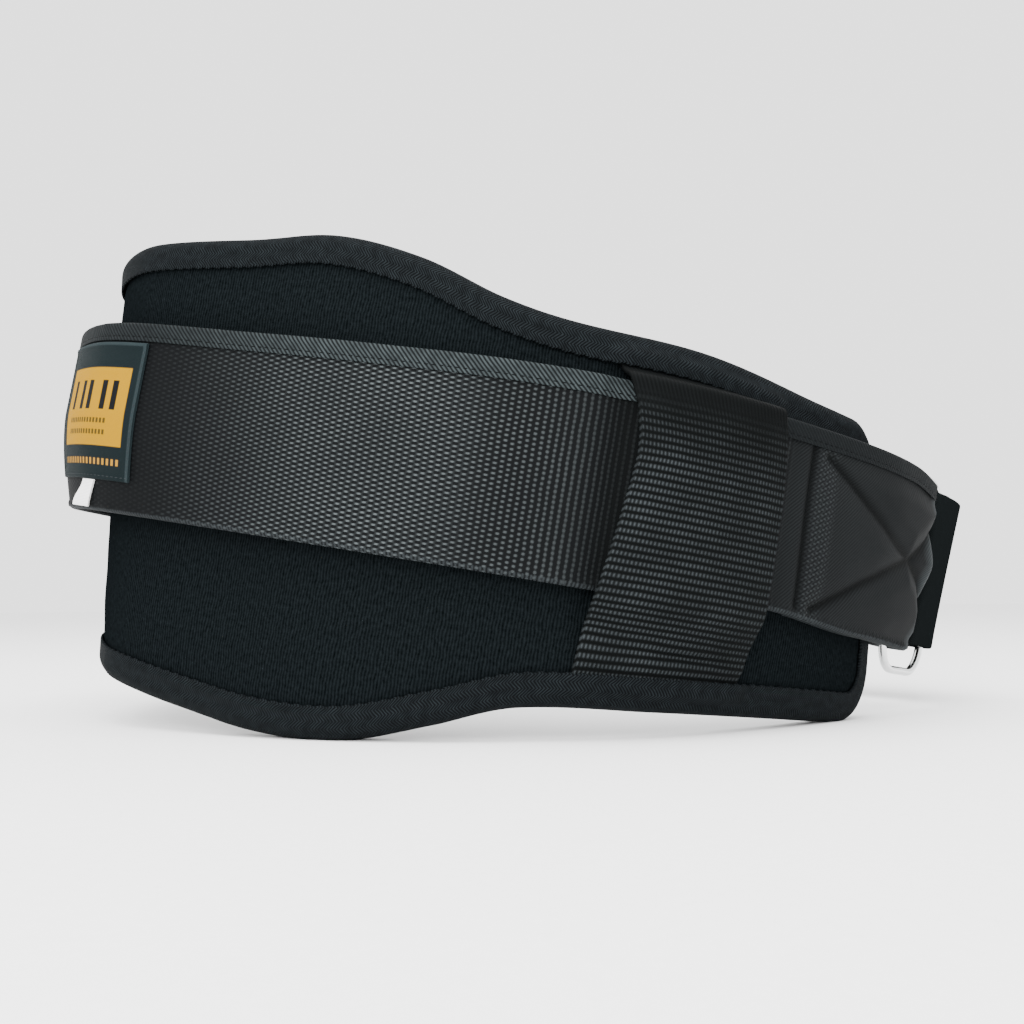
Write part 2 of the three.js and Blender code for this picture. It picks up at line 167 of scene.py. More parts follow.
# Sides of a keeper loop: height, then the arc to its back side and to its front side.
KEEPER_SIDES = np.array([
    (-70, 301.6, 370.5), (-63, 302.6, 372.2), (-58, 303.0, 373.6), (-40, 304.6, 373.0),
    (-18, 307.9, 373.0), (2, 310.6, 372.8), (12, 311.6, 372.6), (20, 311.2, 372.2),
    (30, 309.0, 371.0), (37, 306.0, 369.4), (44, 302.6, 367.6), (50, 300.0, 366.0),
])

# Sewn lines of the box and cross through the strap's folded end, as (s, z).
BOX_LINES = [
    [(388.5, 31), (389, 0), (390, -30.5)],
    [(397, 28.6), (424.5, 15), (446, 5.5), (463, -1.5), (475, -8.5), (483, -18), (486, -31)],
    [(398, -30.7), (425, -17), (446, -8), (463, -1), (474, 7), (483, 16), (488, 27)],
]


def arc_along(row):
    """Length of a line of points up to each of them."""
    return np.concatenate([[0], np.cumsum(np.linalg.norm(np.diff(row, axis=0), axis=1))])


def loop_samples():
    """Dense points of the closed loop in the strap's plane, and the arc up to each."""
    half = [(-across * LOOP_HALF_WIDTH, along * LOOP_HALF_LENGTH) for along, across in LOOP_TABLE]
    here = np.array(half + [(-x, y) for x, y in half[-2:0:-1]])
    before = np.roll(here, 1, 0)
    after = np.roll(here, -1, 0)
    beyond = np.roll(here, -2, 0)
    t = np.linspace(0, 1, 250, endpoint=False)[:, None, None]
    row = 0.5 * (2 * here + (after - before) * t
                 + (2 * before - 5 * here + 4 * after - beyond) * t ** 2
                 + (3 * here - before - 3 * after + beyond) * t ** 3)
    points = row.transpose(1, 0, 2).reshape(-1, 2)
    points = np.vstack([points, points[:1]])
    return points, arc_along(points)


LOOP, ARC = loop_samples()
LOOP_LENGTH = ARC[-1]
FRONT = LOOP_LENGTH / 2
PAD_HALF_LENGTH = FRONT - FRONT_GAP
STRAP_FAR_END = PAD_HALF_LENGTH + FAR_REACH
HEADING = np.roll(LOOP[:-1], -1, 0) - np.roll(LOOP[:-1], 1, 0)
HEADING = np.vstack([HEADING, HEADING[:1]])


def bend(s, z, out):
    """World points, in metres, of places on the strap's bent face."""
    s, z, out = np.broadcast_arrays(np.asarray(s, float), z, out)
    at = np.mod(s, LOOP_LENGTH)
    x, y, tx, ty = (np.interp(at, ARC, column) for column in (*LOOP.T, *HEADING.T))
    size = np.hypot(tx, ty)
    x = x + ty / size * out
    y = y - tx / size * out
    forward = y * math.cos(TILT) - z * math.sin(TILT) + FORWARD
    up = y * math.sin(TILT) + z * math.cos(TILT) + LIFT
    return np.stack([x, forward, up], -1) * MM


def read_table(table, column, along):
    """Smooth values of a table's column, flat at its first row."""
    x = table[:, 0]
    y = table[:, column]
    slope = np.gradient(y, x)
    slope[1:-1] = (y[2:] - y[:-2]) / (x[2:] - x[:-2])
    slope[0] = 0
    i = np.clip(np.searchsorted(x, along, side="right") - 1, 0, len(x) - 2)
    span = x[i + 1] - x[i]
    t = (along - x[i]) / span
    return ((2 * t ** 3 - 3 * t ** 2 + 1) * y[i] + (t ** 3 - 2 * t ** 2 + t) * span * slope[i]
            + (3 * t ** 2 - 2 * t ** 3) * y[i + 1] + (t ** 3 - t ** 2) * span * slope[i + 1])


def ease(start, end, value):
    """0 before start, 1 after end, and smooth between."""
    t = np.clip((value - start) / (end - start), 0, 1)
    return t * t * (3 - 2 * t)


def pad_face(s, z):
    """Pad's outer face: it stands off at the back, and leans out there at its top."""
    fade = np.cos(np.minimum(np.abs(s) / PAD_STAND_OFF_LENGTH, 1) * math.pi / 2) ** 2
    return -(STRAP_THICKNESS + PAD_GAP + (PAD_STAND_OFF - PAD_LEAN * z) * fade)


def leaned(s, z):
    """Where a place of the pad lies once its front end leans back towards the top."""
    share = (z + STRAP_WIDTH / 2 + PAD_BELOW_STRAP) / (STRAP_WIDTH + PAD_BELOW_STRAP + PAD_ABOVE_STRAP)
    front = ease(PAD_HALF_LENGTH - PAD_END_LENGTH, PAD_HALF_LENGTH, np.abs(s))
    return s - np.sign(s) * PAD_END_LEAN * share * front


def pad_point(s, z, depth):
    """World point of the pad: depth is the distance outward from its outer face."""
    at = leaned(s, z)
    return bend(at, z, pad_face(at, z) + depth)


def corner_drop(s, radius):
    """How far a rounded corner at the pad's end takes the edge in."""
    into = np.clip(np.abs(s) - (PAD_HALF_LENGTH - radius), 0, radius)
    return radius - np.sqrt(radius ** 2 - into ** 2)


def pad_top(s):
    """Height of the pad's upper edge."""
    rise = read_table(PAD_TABLE, 1, np.abs(s) / PAD_HALF_LENGTH)
    return STRAP_WIDTH / 2 + PAD_ABOVE_STRAP + HUMP_RISE * rise - corner_drop(s, PAD_TOP_CORNER)


def pad_bottom(s):
    """Height of the pad's lower edge."""
    drop = read_table(PAD_TABLE, 2, np.abs(s) / PAD_HALF_LENGTH)
    return -(STRAP_WIDTH / 2 + PAD_BELOW_STRAP + HUMP_DROP * drop) + corner_drop(s, PAD_BOTTOM_CORNER)


RING_DEPTH = STRAP_THICKNESS + RING_PLAY + RING_BAR / 2
RING_START = float(leaned(PAD_HALF_LENGTH, -STRAP_WIDTH / 2)) + BINDING_GAP + BINDING_THICKNESS + FOLD_STEP
RING_END = RING_START + RING_WIDTH
FOLD_AT = RING_START + FOLD_COVER


def strap_top(s):
    """Height of the strap's upper edge, which tapers down to the fold."""
    return STRAP_WIDTH / 2 - FOLD_TAPER * ease(FOLD_AT - FOLD_TAPER_LENGTH, FOLD_AT, s)


def spread(start, end, step):
    """Even places from start to end, about step apart."""
    return np.linspace(start, end, max(round(abs(end - start) / step), 1) + 1)


def smooth_row(places, step):
    """Even points, step apart, of a smooth line through chosen places."""
    p = np.array([2 * np.array(places[0]) - places[1], *places, 2 * np.array(places[-1]) - places[-2]])
    t = np.linspace(0, 1, 40, endpoint=False)[:, None]
    parts = []
    for a, b, c, d in zip(p, p[1:], p[2:], p[3:]):
        parts.append(0.5 * (2 * b + (c - a) * t + (2 * a - 5 * b + 4 * c - d) * t ** 2
                            + (3 * b - a - 3 * c + d) * t ** 3))
    return even_row(np.vstack([*parts, p[-2:-1]]), step)


def even_row(row, step):
    """The same line with even points, about step apart."""
    arc = arc_along(row)
    at = spread(0, arc[-1], step)
    return np.stack([np.interp(at, arc, column) for column in row.T], -1)


def ripple(s, z, length, seed):
    """Smooth seeded unevenness from -1 to 1, with swells about length millimetres long."""
    source = np.random.default_rng(seed)
    total = np.zeros(np.broadcast(s, z).shape)
    for _ in range(7):
        angle = source.uniform(0, 2 * math.pi)
        wave = 2 * math.pi / (length * source.uniform(0.6, 1.8))
        total = total + np.sin((s * math.cos(angle) + z * math.sin(angle)) * wave + source.uniform(0, 6.3))
    return total / 7


def unit(vectors):
    """Vectors one long, in their own directions."""
    return vectors / np.maximum(np.linalg.norm(vectors, axis=-1, keepdims=True), 1e-12)


def placed(name, data):
    """Adds an object to the scene."""
    made = bpy.data.objects.new(name, data)
    bpy.context.scene.collection.objects.link(made)
    return made


def make_mesh(name, points, faces, corner_uv, material):
    """Object from points, faces as lists of point numbers, and a UV for each face's corner."""
    mesh = bpy.data.meshes.new(name)
    mesh.from_pydata(points, [], faces)
    uv = mesh.uv_layers.new(name="UVMap")
    uv.uv.foreach_set("vector", np.asarray(corner_uv, dtype=np.float32).ravel())
    mesh.polygons.foreach_set("use_smooth", [True] * len(mesh.polygons))
    mesh.set_sharp_from_angle(angle=math.radians(50))
    mesh.materials.append(material)
    return placed(name, mesh)


def woven(name, middle, uv, thickness, material, relief=0.0, inner_relief=0.0, round_steps=5, painted_shade=None):
    """Closed cloth piece round its middle surface.

    middle is rows by columns of points in metres, uv the same in millimetres. The two long
    sides are rounded, and relief lifts the outer face, in millimetres. The last argument, from 0 to 1,
    says where painted shade darkens the outer face, and is kept as a point attribute.
    """
    down = np.gradient(middle, axis=0)
    across = np.gradient(middle, axis=1)
    out = unit(np.cross(down, across))
    half = thickness / 2 * MM
    lift, inner_lift = (np.broadcast_to(rise, middle.shape[:2]) * MM for rise in (relief, inner_relief))
    outer = middle + out * (half + lift)[..., None]
    inner = middle - out * (half + inner_lift)[..., None]
    turns = np.linspace(0, math.pi, round_steps + 2)[1:-1]
    sides = []
    side_uv = []
    for column, sign in ((-1, 1), (0, -1)):
        outward = unit(across[:, column]) * sign
        step = np.array([0.0, sign * thickness / 2])
        fan = []
        fan_uv = []
        for turn in turns:
            away = math.cos(turn) * out[:, column] + math.sin(turn) * outward
            fan.append(middle[:, column] + half * away)
            fan_uv.append(uv[:, column] + step * math.sin(turn))
        sides.append(fan if sign > 0 else fan[::-1])
        side_uv.append(fan_uv if sign > 0 else fan_uv[::-1])
    ring = np.concatenate([outer.transpose(1, 0, 2), np.array(sides[0]), inner.transpose(1, 0, 2)[::-1],
                           np.array(sides[1])])
    ring_uv = np.concatenate([uv.transpose(1, 0, 2), np.array(side_uv[0]), uv.transpose(1, 0, 2)[::-1],
                              np.array(side_uv[1])])
    points = ring.transpose(1, 0, 2)
    flat_uv = ring_uv.transpose(1, 0, 2).reshape(-1, 2)
    rows, size = points.shape[:2]
    here = np.arange(rows - 1)[:, None] * size
    following = here + size
    place = np.arange(size)[None, :]
    beside = (place + 1) % size
    quads = np.stack([here + place, following + place, following + beside, here + beside], -1)
    cols = middle.shape[1]
    faces = quads.reshape(-1, 4).tolist()
    for base, forward in ((0, True), ((rows - 1) * size, False)):
        front = base + np.arange(cols - 1)
        back = base + 2 * cols + round_steps - 1 - np.arange(cols - 1)
        strip = np.stack([front, front + 1, back - 1, back], -1).tolist()
        strip.append([base + j for j in range(cols - 1, cols + round_steps + 1)])
        strip.append([base + j % size for j in range(2 * cols + round_steps - 1, size + 1)])
        faces += strip if forward else [face[::-1] for face in strip]
    corner_uv = flat_uv[np.concatenate([np.array(face) for face in faces])]
    made = make_mesh(name, points.reshape(-1, 3).tolist(), faces, corner_uv, material)
    if painted_shade is not None:
        recess_shade = np.zeros((rows, size), dtype=np.float32)
        recess_shade[:, :cols] = painted_shade
        made.data.attributes.new("painted_shade", "FLOAT", "POINT").data.foreach_set("value", recess_shade.ravel())
    return made


# Materials

# Distance between neighbouring threads of each cloth, in millimetres.
STRAP_COLUMN = 5.1
STRAP_ROW = 1.9
STRAP_TWILL = 1.6
SELVAGE_CORD = 1.5
KEEPER_RIB = 2.67
KEEPER_FLOAT = 1.55
KEEPER_GATHER = 1.6
EDGE_TWILL = 1.87
BINDING_TWILL = 1.3
BINDING_RANK = 2.6
PAD_WALE = 1.3
CLOSING_WEAVE = (1.2, 0.9)
LABEL_WEAVE = (0.7, 0.8)
TAG_WEAVE = 0.6

# Arcs from the back centre between which the strap's threads change their look.
# Light and dark zones of the strap and its tape: partly wear and thread lie, partly painted light and shade.
WEAR_AND_LIGHT_FROM_LABEL = (112, 215)
WEAR_AND_SHADE_BEFORE_KEEPER = (240, 300)
RIBS_BEFORE_KEEPER = (252, 290)
TWILL_ON_FOLD = (374, 378)
LOOSE_BY_SEAM = (391, 402)
WEAR_AND_SHADE_BEFORE_FOLD = (415, 475)
TAPE_WEAR_AND_LIGHT_FROM_LABEL = (110, 190)
TAPE_WEAR_AND_SHADE_BY_KEEPER = (300, 374)

# The label's woven figure, as places along the strap and heights on it.
PANEL_ALONG = (59, 106.5)
PANEL_UP = (-12, 19.8)
BARS_ALONG = (63, 102.5)
BARS_UP = (2.5, 14.5)
BAR_SPACING = 8.0
BAR_SHARE = (1.6, 4.8)
MARKS_ALONG = (66, 97)
MARKS_UP = (-3, -1)
LOWER_MARKS_UP = (-7.6, -5.6)
MARK_SPACING = 1.1
GOLD_ALONG = (60, 106)
GOLD_UP = (-19.5, -17)
DASH_SPACING = 1.4
DASH_SHARE = (0.7, 2.0)
# Where the label's turned edges get a painted highlight.
TURNED_TOP = (29.0, 32)
TURNED_SIDE = (109.8, 113)


def srgb(code):
    """Linear colour of an sRGB hex value."""
    parts = [int(code[i:i + 2], 16) / 255 for i in (1, 3, 5)]
    return [*[p / 12.92 if p <= 0.04045 else ((p + 0.055) / 1.055) ** 2.4 for p in parts], 1.0]


def node(tree, kind, inputs=None, **settings):
    """Adds a node: settings are its properties, inputs its sockets as values, nodes or sockets."""
    made = tree.nodes.new(kind)
    for name, value in settings.items():
        setattr(made, name, value)
    for key, value in (inputs or {}).items():
        if isinstance(value, bpy.types.Node):
            value = next(socket for socket in value.outputs if socket.enabled)
        if isinstance(value, bpy.types.NodeSocket):
            tree.links.new(value, made.inputs[key])
        else:
            made.inputs[key].default_value = value
    return made


def new_material(name):
    """An empty material and its node tree."""
    made = bpy.data.materials.new(name)
    made.use_nodes = True
    made.node_tree.nodes.clear()
    return made, made.node_tree


def cloth_axes(tree):
    """The piece's own UV map in millimetres: whole, lengthwise and across."""
    uv = node(tree, "ShaderNodeUVMap", uv_map="UVMap")
    split = node(tree, "ShaderNodeSeparateXYZ", {0: uv})
    return uv, split.outputs[0], split.outputs[1]


def threads(tree, across, pitch):
    """Even threads: 1 on each crest and -1 between them, pitch millimetres apart."""
    turn = node(tree, "ShaderNodeMath", {0: across, 1: 2 * math.pi / pitch}, operation="MULTIPLY")
    return node(tree, "ShaderNodeMath", {0: turn}, operation="COSINE")


def plain_weave(tree, along, up, pitches):
    """Height of a plain weave from 0 to 1, with the pitches of its warp and its weft."""
    warp, weft = (threads(tree, axis, pitch) for axis, pitch in zip((along, up), pitches))
    crossed = node(tree, "ShaderNodeMath", {0: warp, 1: weft}, operation="MULTIPLY")
    return node(tree, "ShaderNodeMapRange", {0: crossed, 1: -1.0, 2: 1.0})


def drift(tree, uv, value, size, amount):
    """value shifted by smooth noise, so that threads don't run dead straight."""
    noise = node(tree, "ShaderNodeTexNoise", {"Vector": uv, "Scale": 1 / size, "Detail": 2.0})
    centred = node(tree, "ShaderNodeMath", {0: noise, 1: 0.5}, operation="SUBTRACT")
    return node(tree, "ShaderNodeMath", {0: centred, 1: 2 * amount, 2: value}, operation="MULTIPLY_ADD")


def wear(tree, uv, scale, low, high, detail=3.0):
    """Share from low to high in soft patches, as cloth wears and takes dust unevenly."""
    patch = node(tree, "ShaderNodeTexNoise", {"Vector": uv, "Scale": scale, "Detail": detail})
    return node(tree, "ShaderNodeMapRange", {0: patch, 1: 0.3, 2: 0.7, 3: low, 4: high})


def within(tree, value, span, soft):
    """1 where value is inside span, with soft borders."""
    low, high = span
    rise = node(tree, "ShaderNodeMapRange", {0: value, 1: low - soft / 2, 2: low + soft / 2})
    fall = node(tree, "ShaderNodeMapRange",
                {0: value, 1: high - soft / 2, 2: high + soft / 2, 3: 1.0, 4: 0.0})
    return node(tree, "ShaderNodeMath", {0: rise, 1: fall}, operation="MULTIPLY")


def layered(tree, base, *coats):
    """Colours laid over a base: a coat is its share and its colour, which is a hex value or a node."""
    for share, coat in coats:
        under, over = (srgb(paint) if isinstance(paint, str) else paint for paint in (base, coat))
        base = node(tree, "ShaderNodeMix", {0: share, 6: under, 7: over}, data_type="RGBA").outputs[2]
    return base


def surface(tree, colour, roughness, height, depth, look):
    """Ends a material: height as bump of depth millimetres, then the shader."""
    bump = node(tree, "ShaderNodeBump", {"Height": height, "Distance": depth * MM, "Strength": 1.0})
    shader = node(tree, "ShaderNodeBsdfPrincipled",
                  {"Base Color": colour, "Roughness": roughness, "Normal": bump, **look})
    node(tree, "ShaderNodeOutputMaterial", {"Surface": shader})


def strap_webbing():
    """Heavy polyester webbing: light thread floats, offset like bricks, on dark ground.

    The floats run into upright ribs before the keeper loop, and lie flat near the label and on the
    folded end, where a fine slanted twill shows. They are brightest at the side: partly wear and
    thread lie, partly painted shade that dims them by the label, before the keeper loop and before
    the fold. The selvage is corded, the fold's nose carries a painted highlight, and painted shade
    darkens the seams' grooves and the dip beside a keeper loop.
    """
    made, tree = new_material("polyester_strap_webbing")
    uv, uv_along, uv_up = cloth_axes(tree)
    place = node(tree, "ShaderNodeMath", {0: uv_along}, operation="ABSOLUTE")
    # Painted shade, partly wear and thread lie: fewer light floats by the label, before the keeper and the
    # fold.
    start, end = WEAR_AND_LIGHT_FROM_LABEL
    wear_and_shade_near_label = node(tree, "ShaderNodeMapRange", {0: place, 1: start, 2: end, 3: 0.04, 4: 1.0},
                      interpolation_type="SMOOTHSTEP")
    start, end = WEAR_AND_SHADE_BEFORE_KEEPER
    wear_and_shade_before_keeper = node(tree, "ShaderNodeMapRange", {0: place, 1: start, 2: end, 3: 1.0, 4: 0.2})
    start, end = WEAR_AND_SHADE_BEFORE_FOLD
    wear_and_shade_before_fold = node(tree, "ShaderNodeMapRange", {0: place, 1: start, 2: end, 3: 1.0, 4: 0.55})
    start, end = RIBS_BEFORE_KEEPER
    ribbed = node(tree, "ShaderNodeMapRange", {0: place, 1: start, 2: end, 3: 1.0, 4: 0.3})
    start, end = TWILL_ON_FOLD
    folded = node(tree, "ShaderNodeMapRange", {0: place, 1: start, 2: end})
    along = drift(tree, uv, uv_along, 9, 0.35)
    up = drift(tree, uv, uv_up, 14, 0.3)
    columns = threads(tree, along, STRAP_COLUMN)
    core = node(tree, "ShaderNodeMath", {0: columns}, operation="ABSOLUTE")
    rows = threads(tree, up, STRAP_ROW)
    tall = node(tree, "ShaderNodeMapRange", {0: rows, 1: -0.6, 2: 0.6, 3: -1.0, 4: 1.0})
    bricks = node(tree, "ShaderNodeMath", {0: columns, 1: tall}, operation="MULTIPLY")
    bricks = node(tree, "ShaderNodeMath", {0: bricks, 1: core}, operation="MULTIPLY")
    upright = threads(tree, along, STRAP_COLUMN / 2)
    pattern = node(tree, "ShaderNodeMix", {0: ribbed, 2: upright, 3: bricks})
    floats = node(tree, "ShaderNodeMapRange", {0: pattern, 1: -0.25, 2: 0.95},
                  interpolation_type="SMOOTHSTEP")
    slanted = node(tree, "ShaderNodeMath", {0: along, 1: up}, operation="SUBTRACT")
    twill = threads(tree, slanted, STRAP_TWILL)
    twill = node(tree, "ShaderNodeMapRange", {0: twill, 1: -1.0, 2: 1.0, 3: 0.1, 4: 0.55})
    height = node(tree, "ShaderNodeMix", {0: folded, 2: floats, 3: twill})
    worn = node(tree, "ShaderNodeMath", {0: height, 1: wear(tree, uv, 0.03, 0.7, 1.0)},
                operation="MULTIPLY")
    lit = node(tree, "ShaderNodeMath", {0: wear_and_shade_before_keeper, 1: wear_and_shade_before_fold}, operation="MULTIPLY")
    lit = node(tree, "ShaderNodeMath", {0: wear_and_shade_near_label, 1: lit}, operation="MULTIPLY")
    share = node(tree, "ShaderNodeMath", {0: worn, 1: lit}, operation="MULTIPLY")
    beside_seam = within(tree, uv_along, LOOSE_BY_SEAM, 4)
    beside_seam = node(tree, "ShaderNodeMath", {0: beside_seam, 1: 0.18}, operation="MULTIPLY")
    loose = node(tree, "ShaderNodeMath", {0: threads(tree, along, 3.4), 1: threads(tree, up, 2.1)},
                 operation="MULTIPLY")
    loose = node(tree, "ShaderNodeMapRange", {0: loose, 1: 0.0, 2: 0.9})
    share = node(tree, "ShaderNodeMath", {0: loose, 1: beside_seam, 2: share}, operation="MULTIPLY_ADD")
    cords = threads(tree, along, SELVAGE_CORD)
    cords = node(tree, "ShaderNodeMapRange", {0: cords, 1: -1.0, 2: 1.0, 3: 0.05, 4: 0.55})
    rim = node(tree, "ShaderNodeMath", {0: within(tree, uv_up, (-40, -36.2), 0.5), 1: cords},
               operation="MULTIPLY")
    # Painted highlight along the rounded nose of the fold.
    nose = within(tree, uv_along, (FOLD_AT - 8, FOLD_AT + 22), 9)
    fold_nose_highlight = layered(tree, "#202324", (height, "#43484a"))
    # Painted shade in the seams' grooves and in the dip beside a keeper loop, read from a point attribute.
    recess_shade = node(tree, "ShaderNodeAttribute", attribute_name="painted_shade").outputs["Fac"]
    colour = layered(tree, "#090a0b", (share, "#434849"), (rim, "#303436"), (nose, fold_nose_highlight),
                     (recess_shade, "#020303"))
    flat = node(tree, "ShaderNodeMapRange", {0: lit, 3: 0.15, 4: 1.0})
    raised = node(tree, "ShaderNodeMath", {0: height, 1: flat}, operation="MULTIPLY")
    surface(tree, colour, 0.65, raised, 0.4, {"Specular IOR Level": 0.03})
    return made


def keeper_webbing():
    """Ribbed webbing of the keeper loops: strong cross ribs, each a row of fine floats.

    The ribs are gathered flat where the loop turns over the strap, painted shade darkens its top
    under the upper binding, and the band dulls to its front.
    """
    made, tree = new_material("polyester_ribbed_webbing")
    uv, along, up = cloth_axes(tree)
    up = drift(tree, uv, up, 16, 0.3)
    ribs = threads(tree, up, KEEPER_RIB)
    rib = node(tree, "ShaderNodeMapRange", {0: ribs, 1: -0.9, 2: 0.95}, interpolation_type="SMOOTHSTEP")
    beads = threads(tree, drift(tree, uv, along, 7, 0.3), KEEPER_FLOAT)
    bead = node(tree, "ShaderNodeMapRange", {0: beads, 1: -1.0, 2: 1.0, 3: 0.12, 4: 1.05})
    beaded = node(tree, "ShaderNodeMath", {0: rib, 1: bead}, operation="MULTIPLY")
    fine = threads(tree, along, KEEPER_GATHER)
    fine = node(tree, "ShaderNodeMapRange", {0: fine, 1: -1.0, 2: 1.0, 3: 0.05, 4: 0.3})
    gathered = node(tree, "ShaderNodeMapRange", {0: up, 1: 18, 2: 27, 3: 1.0, 4: 0.0})
    height = node(tree, "ShaderNodeMix", {0: gathered, 2: beaded, 3: fine})
    # Painted shade: the band is darker at its top, where it turns under the upper binding.
    down = node(tree, "ShaderNodeMapRange", {0: up, 1: 20, 2: 44, 3: 0.2, 4: 0.9})
    back = node(tree, "ShaderNodeMapRange", {0: along, 1: -30, 2: 30, 3: 1.15, 4: 0.7})
    worn = node(tree, "ShaderNodeMath", {0: back, 1: wear(tree, uv, 0.06, 0.6, 1.1)},
                operation="MULTIPLY")
    lit = node(tree, "ShaderNodeMath", {0: down, 1: worn}, operation="MULTIPLY")
    share = node(tree, "ShaderNodeMath", {0: height, 1: lit}, operation="MULTIPLY")
    colour = layered(tree, "#040505", (share, "#2f3335"))
    surface(tree, colour, 0.65, height, 0.5, {"Specular IOR Level": 0.03})
    return made


def edge_tape():
    """Twill tape sewn over the strap's edge: fine slanted ribs, a little lighter than the strap."""
    made, tree = new_material("twill_edge_tape")
    uv, along, up = cloth_axes(tree)
    place = node(tree, "ShaderNodeMath", {0: along}, operation="ABSOLUTE")
    # Painted light and shade, partly wear: the tape is darker by the label and much darker from the keeper
    # loop to the fold.
    start, end = TAPE_WEAR_AND_LIGHT_FROM_LABEL
    back = node(tree, "ShaderNodeMapRange", {0: place, 1: start, 2: end, 3: 0.25, 4: 1.0})
    start, end = TAPE_WEAR_AND_SHADE_BY_KEEPER
    front = node(tree, "ShaderNodeMapRange", {0: place, 1: start, 2: end, 3: 1.0, 4: 0.08})
    slanted = node(tree, "ShaderNodeMath", {0: drift(tree, uv, along, 8, 0.3), 1: up}, operation="ADD")
    twill = threads(tree, slanted, EDGE_TWILL)
    height = node(tree, "ShaderNodeMapRange", {0: twill, 1: -0.9, 2: 0.9}, interpolation_type="SMOOTHSTEP")
    lit = node(tree, "ShaderNodeMath", {0: back, 1: front}, operation="MULTIPLY")
    lit = node(tree, "ShaderNodeMath", {0: lit, 1: wear(tree, uv, 0.25, 0.55, 1.1)}, operation="MULTIPLY")
    share = node(tree, "ShaderNodeMath", {0: height, 1: lit}, operation="MULTIPLY")
    colour = layered(tree, "#0c0e0f", (share, "#303637"))
    surface(tree, colour, 0.65, height, 0.12, {"Specular IOR Level": 0.03})
    return made


def binding_tape():
    """Herringbone tape bound round the pad: short slanted ribs that turn at each rank."""
    made, tree = new_material("herringbone_binding_tape")
    uv, along, up = cloth_axes(tree)
    rank = node(tree, "ShaderNodeMath", {0: up, 1: BINDING_RANK}, operation="PINGPONG")
    slanted = node(tree, "ShaderNodeMath", {0: drift(tree, uv, along, 5, 0.6), 1: rank}, operation="ADD")
    twill = threads(tree, slanted, BINDING_TWILL)
    height = node(tree, "ShaderNodeMapRange", {0: twill, 1: -0.9, 2: 0.9}, interpolation_type="SMOOTHSTEP")
    worn = wear(tree, uv, 0.3, 0.35, 1.1, detail=4.0)
    share = node(tree, "ShaderNodeMath", {0: height, 1: worn}, operation="MULTIPLY")
    colour = layered(tree, "#060708", (share, "#191d1f"))
    surface(tree, colour, 0.75, height, 0.14, {"Specular IOR Level": 0.02})
    return made


def pad_cover():
    """Brushed knit over foam: near black with a blue cast, matt, soft upright knit lines and fuzz."""
    made, tree = new_material("brushed_knit_pad_cover")
    uv, along, _ = cloth_axes(tree)
    wale = threads(tree, drift(tree, uv, along, 6, 0.8), PAD_WALE)
    fuzz = node(tree, "ShaderNodeTexNoise", {"Vector": uv, "Scale": 1.3, "Detail": 4.0, "Roughness": 0.75})
    height = node(tree, "ShaderNodeMath", {0: wale, 1: 0.3, 2: fuzz}, operation="MULTIPLY_ADD")
    brushed = node(tree, "ShaderNodeTexNoise", {"Vector": uv, "Scale": 0.5, "Detail": 6.0, "Roughness": 0.8})
    fibre = node(tree, "ShaderNodeMapRange", {0: brushed, 1: 0.2, 2: 0.85})
    knit = node(tree, "ShaderNodeMath", {0: wale, 1: 0.2, 2: fibre}, operation="MULTIPLY_ADD")
    colour = layered(tree, "#010202", (knit, "#15191b"))
    surface(tree, colour, 0.95, height, 0.2, {"Specular IOR Level": 0.0})
    return made


def hook_strap():
    """Smooth closing strap: tight plain weave, near black and matt."""
    made, tree = new_material("tight_nylon_closing_strap")
    _, along, up = cloth_axes(tree)
    height = plain_weave(tree, along, up, CLOSING_WEAVE)
    colour = layered(tree, "#090b0b", (height, "#141718"))
    surface(tree, colour, 0.7, height, 0.12, {"Specular IOR Level": 0.0})
    return made


def polished_steel():
    """Chromed steel wire: mirror bright, with faint rubbing marks."""
    made, tree = new_material("chromed_steel_wire")
    place = node(tree, "ShaderNodeTexCoord").outputs["Object"]
    marks = node(tree, "ShaderNodeTexNoise", {"Vector": place, "Scale": 900.0, "Detail": 3.0})
    rough = node(tree, "ShaderNodeMapRange", {0: marks, 1: 0.3, 2: 0.8, 3: 0.1, 4: 0.22})
    colour = layered(tree, "#c9cbcc", (marks, "#e2e3e2"))
    surface(tree, colour, rough, marks, 0.01, {"Metallic": 1.0})
    return made


